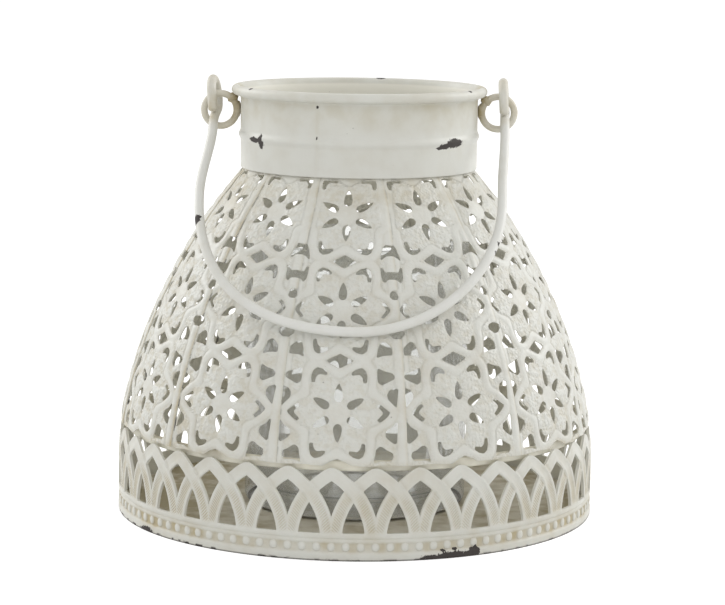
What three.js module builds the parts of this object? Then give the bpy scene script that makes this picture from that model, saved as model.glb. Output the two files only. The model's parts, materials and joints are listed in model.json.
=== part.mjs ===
// A low domed lantern of painted sheet iron: twelve pierced panels lapped into a dome, an arcaded
// gallery round the foot, a rolled collar, a swinging wire bail and a loose glass cylinder inside.
// Lengths are millimetres and +Z is up. The origin is the middle of the foot, on the floor.
// The front is -Y. Angles round the lantern are in degrees, from the front towards +X.

import * as THREE from "three";

// Overall form of the dome, drawn as the outer face of a panel's middle
const baseRadius = 105;
const shoulderHeight = 28;
const shoulderPull = 0.75;
const neckHeight = 151;
const neckLean = 39.75;
const neckPull = 82;

// Fits
const seatGap = 0.3;
const lapGap = 0.4;
const glassPlay = 0.4;

// Sheet metal
const panelSheet = 0.7;
const gallerySheet = 1.4;
const hoopSheet = 1.4;
const floorSheet = 1.5;
const collarSheet = 0.7;

// Collar
const collarRadius = 51.8;
const rimTop = 187;
const rimRadius = 55.8;
const rollHeight = 5.2;
const swageHeight = 165.6;
const swageHalfWidth = 2.6;
const swageRise = 0.8;
const flangeHeight = 3.4;

// Dome panels
const panelCount = 12;
const firstPanelAngle = -4;
const panelBottom = 39.4;
const lapWidth = 1.8;
const lapEnd = 152;
const lapTaper = 0.6;
const seamShift = 0.6;
const footNotchHalfWidth = 6;
const footNotchDepth = 2.7;

// Pierced pattern of a panel: rosettes stand one above another with rhombi between them
const rosetteCount = 3;
const firstRosette = 61;
const rosettePitch = 43;
const petalCount = 6;
const petalStart = 4;
const petalEnd = 12;
const petalHalfWidth = 1.8;
const rhombusHalfWidth = 5.8;
const rhombusHalfHeight = 3;

// Notches that the vases make of a seam, above and below a level just under the upper rhombus
const seamNotchDrop = 1;
const seamNotchRoot = 15.2;
const seamNotchRootNear = 1.8;
const seamNotchRootFar = 8.6;
const seamNotchMouthNear = 3.8;
const seamNotchMouthFar = 7.3;

// Corners of the smaller holes, for the upper right one of each. Hooks and side slots are given
// from a rosette's centre, vases from a rhombus's centre and corner vases from the panel's foot.
const hookCorners = [[11.3, 12], [10.7, 18.4], [4.4, 16.3], [9.2, 15]];
const sideSlotCorners = [[19.9, 7.7], [23, 11], [23.8, 2.4]];
const vaseCorners = [[15.2, 1.8], [21.5, 3], [20.9, 6.7], [16.6, 9.1]];
const cornerVaseCorners = [[14.7, 1.2], [22.8, 3.4], [16.9, 8.1]];

// Gallery round the foot
const firstArchAngle = -5;
const archCount = 36;
const archTop = 38.6;
const archValley = 33.2;
const archCapHalfWidth = 2.6;
const lancetFoot = 11.4;
const lancetShoulder = 18.2;
const lancetTop = 24.2;
const lancetFootHalfWidth = 4.6;
const lancetShoulderHalfWidth = 3;
const kiteBottom = 19.4;
const kiteWaist = 28.6;
const kiteTop = 33.2;
const kiteHalfWidth = 5.1;
const lipHeight = 3;
const channelTop = 8.4;
const channelDepth = 0.7;
const channelSlope = 0.4;
const hemSheet = 1.2;
const hemWidth = 8;

// Plain hoop behind the meeting of gallery and panels
const hoopBottom = 36.7;
const hoopTop = 41.3;

// Glass cylinder
const glassHeight = 117;
const glassWall = 3;
const glassBase = 6;
const glassHeel = 3;

// Ear rings and bail
const ringWire = 3;
const ringRadius = 7.1;
const bailWire = 4.15;
const eyeOffset = 2.5;
const eyeRadius = 6.8;
const eyeHang = 0.2;
const eyeLength = 14;
const bailReach = 127.6;
const bailBelly = 64.3;
const bailBellyReach = 56;
const bellyFullness = 0.6;
const throatBend = 4.5;
const eyeEndGap = 4.4;

// The bail is bent by hand: its left side stands further out and is fuller than its right
const bailSway = 3;
const fullnessSway = 0.05;

// Faceting
const roundSegments = 36;
const glassSegments = 24;
const panelEdgeBends = [56, 78, 104];
const rollBends = [-60, 0, 50, 110];
const wireSides = 8;
const sweepSteps = 7;
const throatSteps = 3;
const eyeSteps = 7;
const ringSides = 6;
const ringSteps = 12;

const radians = THREE.MathUtils.degToRad;
const degrees = THREE.MathUtils.radToDeg;

const paint = (roughness = 0.42) =>
  new THREE.MeshStandardMaterial({ color: 0xdedcd2, roughness, metalness: 0 });
const washedPaint = () =>
  new THREE.MeshStandardMaterial({ color: 0xb9ad92, roughness: 0.6, metalness: 0 });
const clearGlass = () =>
  new THREE.MeshStandardMaterial({
    color: 0xeef2ef,
    roughness: 0.05,
    metalness: 0,
    transparent: true,
    opacity: 0.3,
  });

const lantern = new THREE.Group();

function addPiece(name, geometry, material) {
  const mesh = new THREE.Mesh(geometry, material);
  mesh.name = name;
  lantern.add(mesh);
  return mesh;
}

// Profile of the dome. Levels on it are measured along the sheet, up from the floor.
const flatOf = (radius, segments) => radius * Math.cos(Math.PI / segments);
const neckRadius = flatOf(collarRadius - collarSheet, roundSegments) - seatGap;
const collarBottom = neckHeight + seatGap;

function makeProfile() {
  const path = new THREE.CurvePath();
  const foot = new THREE.Vector2(baseRadius, 0);
  const shoulder = new THREE.Vector2(baseRadius, shoulderHeight);
  const neck = new THREE.Vector2(neckRadius, neckHeight);
  const lean = radians(neckLean);
  path.add(new THREE.LineCurve(foot, shoulder));
  path.add(
    new THREE.CubicBezierCurve(
      shoulder,
      new THREE.Vector2(baseRadius, shoulderHeight + shoulderPull),
      new THREE.Vector2(
        neckRadius + neckPull * Math.sin(lean),
        neckHeight - neckPull * Math.cos(lean),
      ),
      neck,
    ),
  );
  path.add(new THREE.LineCurve(neck, new THREE.Vector2(neckRadius, neckHeight + flangeHeight)));
  return path;
}

const profile = makeProfile();
const profileLength = profile.getLength();
const panelTop = profileLength;
const neckLevel = profileLength - flangeHeight;

function profilePoint(level) {
  return profile.getPoint(Math.min(Math.max(level / profileLength, 0), 1));
}

// Outward normal of the profile at a level, in the plane of radius and height
function profileNormal(level) {
  const step = 0.5;
  const below = profilePoint(level - step);
  const above = profilePoint(level + step);
  const along = above.sub(below).normalize();
  return new THREE.Vector2(along.y, -along.x);
}

// Point at a level and an angle, moved outward square to the sheet
function skinPoint(level, angle, outward) {
  const spot = profilePoint(level).addScaledVector(profileNormal(level), outward);
  const turn = radians(angle);
  return new THREE.Vector3(spot.x * Math.sin(turn), -spot.x * Math.cos(turn), spot.y);
}

function angleOf(width, level) {
  return degrees(width / profilePoint(level).x);
}

function widthOf(angle, level) {
  return radians(angle) * profilePoint(level).x;
}

// Triangles of a flat outline with holes, their long diagonals swapped for short ones
function triangulate(outline, holes) {
  const points = outline.concat(...holes);
  const faces = THREE.ShapeUtils.triangulateShape(outline, holes).map((face) => {
    const [a, b, c] = face;
    return turnOf(points[a], points[b], points[c]) > 0 ? [a, b, c] : [a, c, b];
  });
  let swapped = true;
  while (swapped) {
    swapped = swapDiagonals(points, faces);
  }
  return { points, faces };
}

function turnOf(a, b, c) {
  return (b.x - a.x) * (c.y - a.y) - (b.y - a.y) * (c.x - a.x);
}

function edgeKey(a, b) {
  return a < b ? `${a},${b}` : `${b},${a}`;
}

// Triangles on each edge, by the edge's two corners
function edgeOwners(faces) {
  const owners = new Map();
  faces.forEach((face, index) => {
    for (let i = 0; i < 3; i += 1) {
      const key = edgeKey(face[i], face[(i + 1) % 3]);
      owners.set(key, [...(owners.get(key) ?? []), index]);
    }
  });
  return owners;
}

function facingAngle(points, a, b, from) {
  const one = points[a].clone().sub(points[from]);
  const two = points[b].clone().sub(points[from]);
  return Math.abs(one.angleTo(two));
}

// A diagonal is swapped where the two angles that face it add up to more than a half turn
function swapDiagonals(points, faces) {
  const changed = new Set();
  for (const [key, sides] of edgeOwners(faces)) {
    if (sides.length < 2 || sides.some((side) => changed.has(side))) {
      continue;
    }
    const [a, b] = key.split(",").map(Number);
    const [c, d] = sides.map((side) => faces[side].find((corner) => corner !== a && corner !== b));
    const facing = facingAngle(points, a, b, c) + facingAngle(points, a, b, d);
    const first = turnOf(points[c], points[d], points[a]);
    const second = turnOf(points[c], points[d], points[b]);
    if (facing > Math.PI + 1e-6 && first * second < -1e-6) {
      faces[sides[0]] = first > 0 ? [c, d, a] : [d, c, a];
      faces[sides[1]] = second > 0 ? [c, d, b] : [d, c, b];
      sides.forEach((side) => changed.add(side));
    }
  }
  return changed.size > 0;
}

// Sheet with two faces of the same triangles and a wall along each free edge between them
function closedSheet(points, faces, outerFace, innerFace) {
  const count = points.length;
  const places = [...points.map(outerFace), ...points.map(innerFace)];
  const triangles = [...faces];
  faces.forEach(([a, b, c]) => triangles.push([a + count, c + count, b + count]));
  const owners = edgeOwners(faces);
  for (const face of faces) {
    for (let i = 0; i < 3; i += 1) {
      const a = face[i];
      const b = face[(i + 1) % 3];
      if (owners.get(edgeKey(a, b)).length === 1) {
        triangles.push([b, a, a + count], [b, a + count, b + count]);
      }
    }
  }
  const geometry = new THREE.BufferGeometry();
  const numbers = places.flatMap((place) => place.toArray());
  geometry.setAttribute("position", new THREE.Float32BufferAttribute(numbers, 3));
  geometry.setIndex(triangles.flat());
  geometry.computeVertexNormals();
  return geometry;
}

const at = (x, y) => new THREE.Vector2(x, y);
const shapeOf = (corners) => corners.map(([x, y]) => at(x, y));
const mirrored = (shape) => shape.map((corner) => at(-corner.x, corner.y));
const flipped = (shape) => shape.map((corner) => at(corner.x, -corner.y));
const raised = (shape, level) => shape.map((corner) => at(corner.x, corner.y + level));
const turned = (shape, angle) =>
  shape.map((corner) => corner.clone().rotateAround(at(0, 0), radians(angle)));

// The four copies of a shape, mirrored from side to side and from top to bottom
const fourWays = (shape) => [shape, mirrored(shape), flipped(shape), mirrored(flipped(shape))];

// Holes round one rosette, from its centre: six petals, and a hook at the tip of each leaning lobe
const petal = [at(petalStart, -petalHalfWidth), at(petalEnd, 0), at(petalStart, petalHalfWidth)];

function rosetteHoles(level) {
  const holes = [];
  for (let i = 0; i < petalCount; i += 1) {
    holes.push(turned(petal, ((i + 0.5) * 360) / petalCount));
  }
  const hooks = fourWays(shapeOf(hookCorners));
  const belowNeck = (corner) => level + corner.y < neckLevel - seatGap;
  holes.push(...hooks.filter((hook) => hook.every(belowNeck)));
  return holes.map((hole) => raised(hole, level));
}

// Rhombus between two rosettes, with a vase above and below it at each side
const rhombus = [
  at(-rhombusHalfWidth, 0),
  at(0, -rhombusHalfHeight),
  at(rhombusHalfWidth, 0),
  at(0, rhombusHalfHeight),
];

function panelHoles() {
  const holes = [];
  for (let i = 0; i < rosetteCount; i += 1) {
    holes.push(...rosetteHoles(firstRosette + i * rosettePitch));
  }
  for (let i = 0; i < rosetteCount - 1; i += 1) {
    holes.push(raised(rhombus, firstRosette + (i + 0.5) * rosettePitch));
  }
  const lowerRhombus = firstRosette + rosettePitch / 2;
  const vases = fourWays(shapeOf(vaseCorners));
  const sideSlots = fourWays(shapeOf(sideSlotCorners));
  const cornerVase = shapeOf(cornerVaseCorners);
  const cornerVases = [cornerVase, mirrored(cornerVase)];
  holes.push(...vases.map((hole) => raised(hole, lowerRhombus)));
  holes.push(...sideSlots.map((hole) => raised(hole, firstRosette)));
  holes.push(...cornerVases.map((hole) => raised(hole, panelBottom)));
  return holes;
}

// Half widths of a panel at a level, as angles. The right edge laps over its neighbour.
const halfPanel = 180 / panelCount;

function edgeSpread(level) {
  return angleOf(level > lapEnd ? -lapGap / 2 : lapWidth / 2, level);
}

const edgeX = {
  right: (level) => widthOf(halfPanel + seamShift + edgeSpread(level), level),
  left: (level) => widthOf(-halfPanel + seamShift - edgeSpread(level), level),
};

// Outward shift that lets each right edge lie over the next panel's left edge
const lapShift = (panelSheet + lapGap) / 2;

function shingle(angle, level) {
  const fade = level > lapEnd ? (neckLevel - level) / (neckLevel - lapEnd) : 1;
  return (lapShift * Math.max(fade, 0) * (angle - seamShift)) / halfPanel;
}

// One side of a panel from bottom to top, with the two notches that the vases make of the seam
function sideOutline(edge, hand) {
  const middle = firstRosette + 1.5 * rosettePitch - seamNotchDrop;
  const onEdge = (level) => at(edge(level), level);
  const notch = (side) => {
    const corners = [
      onEdge(middle + side * seamNotchMouthNear),
      at(hand * seamNotchRoot, middle + side * seamNotchRootNear),
      at(hand * seamNotchRoot, middle + side * seamNotchRootFar),
      onEdge(middle + side * seamNotchMouthFar),
    ];
    return side < 0 ? corners.reverse() : corners;
  };
  const lower = [panelBottom, ...panelEdgeBends];
  const upper = [lapEnd, lapEnd + lapTaper, neckLevel];
  return [...lower.map(onEdge), ...notch(-1), ...notch(1), ...upper.map(onEdge)];
}

function panelOutline() {
  return [
    at(-footNotchHalfWidth, panelBottom),
    at(0, panelBottom + footNotchDepth),
    at(footNotchHalfWidth, panelBottom),
    ...sideOutline(edgeX.right, 1),
    at(0, neckLevel),
    ...sideOutline(edgeX.left, -1).reverse(),
  ];
}

function panelGeometry() {
  const face = (depth) => (corner) => {
    const angle = angleOf(corner.x, corner.y);
    return skinPoint(corner.y, angle, shingle(angle, corner.y) - depth);
  };
  const { points, faces } = triangulate(panelOutline(), panelHoles());
  addFlange(points, faces);
  return closedSheet(points, faces, face(0), face(panelSheet));
}

// Upright flange above the bend at the neck, which stands inside the collar
function addFlange(points, faces) {
  const bend = points.map((point, i) => i).filter((i) => points[i].y === neckLevel);
  bend.sort((i, j) => points[i].x - points[j].x);
  const top = bend.map((i) => points.push(at(points[i].x, panelTop)) - 1);
  for (let i = 1; i < bend.length; i += 1) {
    faces.push([bend[i - 1], bend[i], top[i]], [bend[i - 1], top[i], top[i - 1]]);
  }
}

function addPanels() {
  for (let i = 0; i < panelCount; i += 1) {
    const name = `panel_${String(i + 1).padStart(2, "0")}`;
    const panel = addPiece(name, panelGeometry(), paint());
    panel.rotation.z = radians(firstPanelAngle + (i * 360) / panelCount);
  }
}

// Gallery: one bay is cut along its left kite, and its widths are arcs of the foot's circle
const bayWidth = (2 * Math.PI * baseRadius) / archCount;
const galleryRows = [0, lipHeight, lipHeight + channelSlope, channelTop - channelSlope, channelTop];

function bayFaces() {
  const half = bayWidth / 2;
  const outline = [
    at(0, channelTop),
    at(bayWidth, channelTop),
    at(bayWidth, kiteBottom),
    at(bayWidth - kiteHalfWidth, kiteWaist),
    at(bayWidth, kiteTop),
    at(bayWidth + kiteHalfWidth, kiteWaist),
    at(bayWidth + half, archValley),
    at(bayWidth + archCapHalfWidth, archTop),
    at(bayWidth - archCapHalfWidth, archTop),
    at(half, archValley),
    at(kiteHalfWidth, kiteWaist),
    at(0, kiteBottom),
  ];
  const lancet = [
    at(half - lancetFootHalfWidth, lancetFoot),
    at(half - lancetShoulderHalfWidth, lancetShoulder),
    at(half, lancetTop),
    at(half + lancetShoulderHalfWidth, lancetShoulder),
    at(half + lancetFootHalfWidth, lancetFoot),
  ];
  return triangulate(outline, [lancet]);
}

// Foot rows stand below the arches, and the bay's corners are shared with the next bay's
function galleryFaces() {
  const bay = bayFaces();
  const points = [];
  const faces = [];
  const known = new Map();
  const round = bayWidth * archCount;
  const corner = (x, level) => {
    const turns = Math.round(((x % round) / round) * 1e6) % 1e6;
    const key = `${turns},${level}`;
    if (!known.has(key)) {
      known.set(key, points.length);
      points.push(at(x % round, level));
    }
    return known.get(key);
  };
  for (let i = 0; i < archCount; i += 1) {
    const start = i * bayWidth;
    for (const face of bay.faces) {
      faces.push(face.map((j) => corner(bay.points[j].x + start, bay.points[j].y)));
    }
    for (let row = 1; row < galleryRows.length; row += 1) {
      const [low, high] = [galleryRows[row - 1], galleryRows[row]];
      const a = corner(start, low);
      const b = corner(start + bayWidth, low);
      const c = corner(start + bayWidth, high);
      const d = corner(start, high);
      faces.push([a, b, c], [a, c, d]);
    }
  }
  return { points, faces };
}

// Outer face with its sunk channel for the beads
function galleryOuter(corner) {
  const sunk = corner.y > lipHeight && corner.y < channelTop;
  return skinPoint(corner.y, degrees(corner.x / baseRadius), sunk ? -channelDepth : 0);
}

// Inner face, turned in along the floor as a hem
function galleryInner(corner) {
  const angle = degrees(corner.x / baseRadius);
  const height = corner.y;
  const depth = height > lipHeight ? gallerySheet : hemWidth;
  const place = skinPoint(height, angle, -depth);
  if (height <= lipHeight + channelSlope) {
    place.z = height > 0 ? hemSheet : 0;
  }
  return place;
}

function addGallery() {
  const { points, faces } = galleryFaces();
  const geometry = closedSheet(points, faces, galleryOuter, galleryInner);
  addPiece("gallery_band", geometry, paint(0.5)).rotation.z = radians(firstArchAngle);
}

// Turned piece from its outline, given as radius and height
function turnedSolid(outline, segments = roundSegments) {
  const geometry = new THREE.LatheGeometry(outline, segments);
  geometry.rotateX(Math.PI / 2);
  geometry.rotateZ(radians(firstPanelAngle));
  return geometry;
}

const closed = (outline) => [...outline, outline[0].clone()];

// Hoop that gallery and panels are fixed to, seated behind the deepest part of each. A panel is
// deepest where its foot runs flat from the notch to the edge.
function addHoop() {
  const flat = halfPanel + seamShift - angleOf(footNotchHalfWidth, panelBottom);
  const behindPanel = profilePoint(hoopTop).x * Math.cos(radians(flat) / 2) - panelSheet - lapShift;
  const behindGallery = profilePoint(hoopBottom).x - gallerySheet;
  const outer = Math.min(behindPanel, behindGallery) - seatGap;
  const outline = [
    at(outer - hoopSheet, hoopBottom),
    at(outer, hoopBottom),
    at(outer, hoopTop),
    at(outer - hoopSheet, hoopTop),
  ];
  addPiece("support_hoop", turnedSolid(closed(outline)), washedPaint());
}

// Floor plate on the hem, and the glass on the plate
const floorBottom = hemSheet + seatGap;
const floorTop = floorBottom + floorSheet;
const glassBottom = floorTop + seatGap;

function addFloor() {
  const floorRadius = baseRadius - gallerySheet - seatGap;
  const outline = [
    at(0, floorBottom),
    at(floorRadius, floorBottom),
    at(floorRadius, floorTop),
    at(0, floorTop),
  ];
  addPiece("floor_plate", turnedSolid(outline), washedPaint());
}

const glassRadius = flatOf(neckRadius - panelSheet, 2 * panelCount) - glassPlay;

function addGlass() {
  const top = glassBottom + glassHeight;
  const inner = glassRadius - glassWall;
  const outline = [
    at(0, glassBottom),
    at(glassRadius - glassHeel, glassBottom),
    at(glassRadius, glassBottom + glassHeel),
    at(glassRadius, top),
    at(inner, top),
    at(inner, glassBottom + glassBase),
    at(0, glassBottom + glassBase),
  ];
  addPiece("glass_cylinder", turnedSolid(outline, glassSegments), clearGlass());
}

// Collar with a swage round its middle and a rim rolled out at the top
const rollRadius = rollHeight / 2;
const rollCentre = at(rimRadius - rollRadius, rimTop - rollRadius);

function addCollar() {
  const bore = collarRadius - collarSheet;
  const rollFoot = rollCentre.y - rollRadius;
  const roll = rollBends.map((angle) =>
    at(rollRadius, 0).rotateAround(at(0, 0), radians(angle)).add(rollCentre),
  );
  const outline = [
    at(bore, collarBottom),
    at(collarRadius, collarBottom),
    at(collarRadius, swageHeight - swageHalfWidth),
    at(collarRadius + swageRise, swageHeight),
    at(collarRadius, swageHeight + swageHalfWidth),
    at(collarRadius, rollFoot),
    ...roll,
    at(bore, rollFoot),
  ];
  addPiece("collar", turnedSolid(closed(outline)), paint());
}

// Ear rings stand against the collar's sides, close under its rolled rim
const ringReach = ringRadius + ringWire / 2 + seatGap;
const ringCentre = collarRadius + ringReach;
const ringDrop = Math.sqrt((ringReach + rollRadius) ** 2 - (ringCentre - rollCentre.x) ** 2);
const ringCentreHeight = rollCentre.y - ringDrop;

function addEarRings() {
  for (const [name, hand] of [["ear_ring_left", -1], ["ear_ring_right", 1]]) {
    const geometry = new THREE.TorusGeometry(ringRadius, ringWire / 2, ringSides, ringSteps);
    geometry.rotateX(Math.PI / 2);
    const ring = addPiece(name, geometry, washedPaint());
    ring.position.set(hand * ringCentre, 0, ringCentreHeight);
  }
}

// The bail swings about the crown of each ring, where its eye crosses the wire
const eyeSpan = ringCentre + eyeOffset;
const pivotHeight = ringCentreHeight + Math.sqrt(ringRadius ** 2 - eyeOffset ** 2);

// Half of the bail in its own plane: x to the side, y away from the pivot, z off the plane.
// The hand is 1 for the right half and -1 for the left.
function halfBailRoute(hand) {
  const belly = bailBelly - hand * bailSway;
  const fullness = bellyFullness - hand * fullnessSway;
  const place = (x, reach, off = 0) => new THREE.Vector3(hand * x, reach, off);
  const throat = place(eyeSpan, eyeLength);
  const lean = Math.asin(eyeRadius / (eyeLength - eyeHang));
  const strand = (back, side) =>
    place(eyeSpan, eyeLength - back * Math.cos(lean), side * back * Math.sin(lean));
  const sweep = new THREE.CubicBezierCurve3(
    place(0, bailReach),
    place(belly * fullness, bailReach),
    place(belly, bailBellyReach + (bailReach - bailBellyReach) * fullness),
    place(belly, bailBellyReach),
  );
  const neckBend = new THREE.QuadraticBezierCurve3(
    place(eyeSpan, eyeLength + throatBend),
    throat,
    strand(throatBend, -1),
  );
  const eye = [];
  const startAngle = 90 - degrees(lean);
  for (let i = 0; i <= eyeSteps; i += 1) {
    const angle = radians(startAngle + ((360 - 2 * startAngle) * i) / eyeSteps);
    eye.push(
      place(eyeSpan, eyeHang + eyeRadius * Math.cos(angle), -eyeRadius * Math.sin(angle)),
    );
  }
  const shank = neckBend.getPoints(throatSteps);
  return [...sweep.getPoints(sweepSteps), ...shank, ...eye, strand(eyeEndGap, 1)];
}

// Place of a point of the bail, swung by an angle from straight down towards the front
function bailPlace(point, angle) {
  const turn = radians(angle);
  return new THREE.Vector3(
    point.x,
    -point.y * Math.sin(turn) - point.z * Math.cos(turn),
    pivotHeight - point.y * Math.cos(turn) + point.z * Math.sin(turn),
  );
}

// Angle at which the bail, coming down from level at the front, meets the dome
function restAngle(route) {
  const step = 0.02;
  const outline = profile.getSpacedPoints(200);
  const clearance = (angle) => {
    let least = Infinity;
    for (const point of route) {
      const place = bailPlace(point, angle);
      const radius = Math.hypot(place.x, place.y);
      for (const spot of outline) {
        least = Math.min(least, Math.hypot(spot.x - radius, spot.y - place.z));
      }
    }
    return least - bailWire / 2 - lapShift;
  };
  let angle = 90;
  while (clearance(angle - step) > seatGap) {
    angle -= step;
  }
  return angle;
}

function addBail() {
  const route = [...halfBailRoute(-1).slice(1).reverse(), ...halfBailRoute(1)];
  const angle = restAngle(route);
  const path = new THREE.CatmullRomCurve3(route.map((point) => bailPlace(point, angle)));
  path.getUtoTmapping = (share) => share;
  const section = new THREE.Shape();
  for (let i = 0; i < wireSides; i += 1) {
    const turn = (2 * Math.PI * i) / wireSides;
    const [x, y] = [(bailWire / 2) * Math.cos(turn), (bailWire / 2) * Math.sin(turn)];
    if (i === 0) {
      section.moveTo(x, y);
    } else {
      section.lineTo(x, y);
    }
  }
  section.closePath();
  const options = { steps: route.length - 1, bevelEnabled: false, extrudePath: path };
  addPiece("bail_handle", new THREE.ExtrudeGeometry(section, options), paint());
}

addPanels();
addGallery();
addHoop();
addFloor();
addGlass();
addCollar();
addEarRings();
addBail();

export default lantern;
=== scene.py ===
"""Dresses a domed, pierced sheet-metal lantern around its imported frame.

Twelve pierced and embossed panels, an arcaded gallery with its row of beads, a rolled collar with
two ear rings, a swinging wire bail and a loose glass cylinder are modelled here in full detail.
Lengths in the classes are millimetres. Levels are measured along the sheet, up from the floor.
Angles are degrees from the front, which is -Y, towards +X, unless a docstring says radians.
"""

import json
import logging
import math
from dataclasses import dataclass, field
from enum import Enum
from typing import Callable, Iterable, Sequence

import bpy
import numpy as np
from mathutils import Euler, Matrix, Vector

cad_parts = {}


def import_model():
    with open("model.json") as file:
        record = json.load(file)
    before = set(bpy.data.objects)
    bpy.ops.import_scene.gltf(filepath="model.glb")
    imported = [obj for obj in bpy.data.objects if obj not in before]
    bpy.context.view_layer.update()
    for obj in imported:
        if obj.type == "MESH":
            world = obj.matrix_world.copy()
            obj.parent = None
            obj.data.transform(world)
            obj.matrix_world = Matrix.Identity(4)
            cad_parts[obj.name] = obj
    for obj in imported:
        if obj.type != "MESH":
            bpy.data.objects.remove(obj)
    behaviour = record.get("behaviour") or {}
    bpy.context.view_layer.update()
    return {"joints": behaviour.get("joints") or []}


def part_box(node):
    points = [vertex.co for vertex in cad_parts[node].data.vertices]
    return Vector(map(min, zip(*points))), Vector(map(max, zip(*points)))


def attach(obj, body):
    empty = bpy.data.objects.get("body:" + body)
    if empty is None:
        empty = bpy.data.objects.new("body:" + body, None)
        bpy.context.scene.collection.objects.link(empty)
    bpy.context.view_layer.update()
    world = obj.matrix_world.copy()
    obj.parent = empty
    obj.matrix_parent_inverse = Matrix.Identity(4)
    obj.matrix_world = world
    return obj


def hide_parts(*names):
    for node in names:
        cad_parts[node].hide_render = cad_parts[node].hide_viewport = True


MM = 0.001
REFRACTION = 1.45
LOG = logging.getLogger("lantern")

Corner = tuple[float, float]
Point = tuple[float, float, float]
Colour = tuple[float, float, float, float]
Owner = bpy.types.Material | bpy.types.World
Rule = Callable[[np.ndarray, np.ndarray], np.ndarray]


class Body(Enum):
    """The rigid bodies of the frame that pieces ride on."""

    LANTERN = "lantern"
    BAIL = "bail"
    GLASS = "glass"


class Slot(Enum):
    """The record's material slots."""

    CREAM = "cream_paint"
    WASHED = "washed_paint"
    GLASS = "clear_glass"


def paint_colour(red: int, green: int, blue: int) -> Colour:
    """Linear colour of an sRGB paint sample.

    Args:
        red: Red from 0 to 255.
        green: Green from 0 to 255.
        blue: Blue from 0 to 255.

    Returns:
        The linear colour with full alpha.
    """

    def linear(level: int) -> float:
        """Linear value of one channel."""
        share = level / 255
        return share / 12.92 if share <= 0.04045 else ((share + 0.055) / 1.055) ** 2.4

    return (linear(red), linear(green), linear(blue), 1.0)


# Shader graph written as expressions


@dataclass(frozen=True)
class Signal:
    """A shader value or colour that Python arithmetic can combine."""

    graph: "ShaderGraph"
    socket: bpy.types.NodeSocket

    def _maths(self, operation: str, first: "Mixed", second: "Mixed") -> "Signal":
        """Math node of one operation on two values."""
        inputs = {0: first, 1: second}
        return self.graph.add("ShaderNodeMath", {"operation": operation}, inputs)

    def __add__(self, other: "Mixed") -> "Signal":
        """Sum."""
        return self._maths("ADD", self, other)

    def __radd__(self, other: "Mixed") -> "Signal":
        """Sum with a number on the left."""
        return self._maths("ADD", other, self)

    def __sub__(self, other: "Mixed") -> "Signal":
        """Difference."""
        return self._maths("SUBTRACT", self, other)

    def __rsub__(self, other: "Mixed") -> "Signal":
        """Difference from a number on the left."""
        return self._maths("SUBTRACT", other, self)

    def __mul__(self, other: "Mixed") -> "Signal":
        """Product."""
        return self._maths("MULTIPLY", self, other)

    def __rmul__(self, other: "Mixed") -> "Signal":
        """Product with a number on the left."""
        return self._maths("MULTIPLY", other, self)

    def at_least(self, other: "Mixed") -> "Signal":
        """The greater of two values."""
        return self._maths("MAXIMUM", self, other)

    def at_most(self, other: "Mixed") -> "Signal":
        """The lesser of two values."""
        return self._maths("MINIMUM", self, other)

    def eased(self, low: float, high: float) -> "Signal":
        """Smooth step from 0 at one value to 1 at another.

        Args:
            low: The value where it is 0.
            high: The value where it is 1, which may be the lesser one.

        Returns:
            The share from 0 to 1.
        """
        settings = {"interpolation_type": "SMOOTHSTEP", "clamp": True}
        inputs = {"Value": self, "From Min": low, "From Max": high}
        return self.graph.add("ShaderNodeMapRange", settings, inputs)


Mixed = Signal | float


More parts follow.
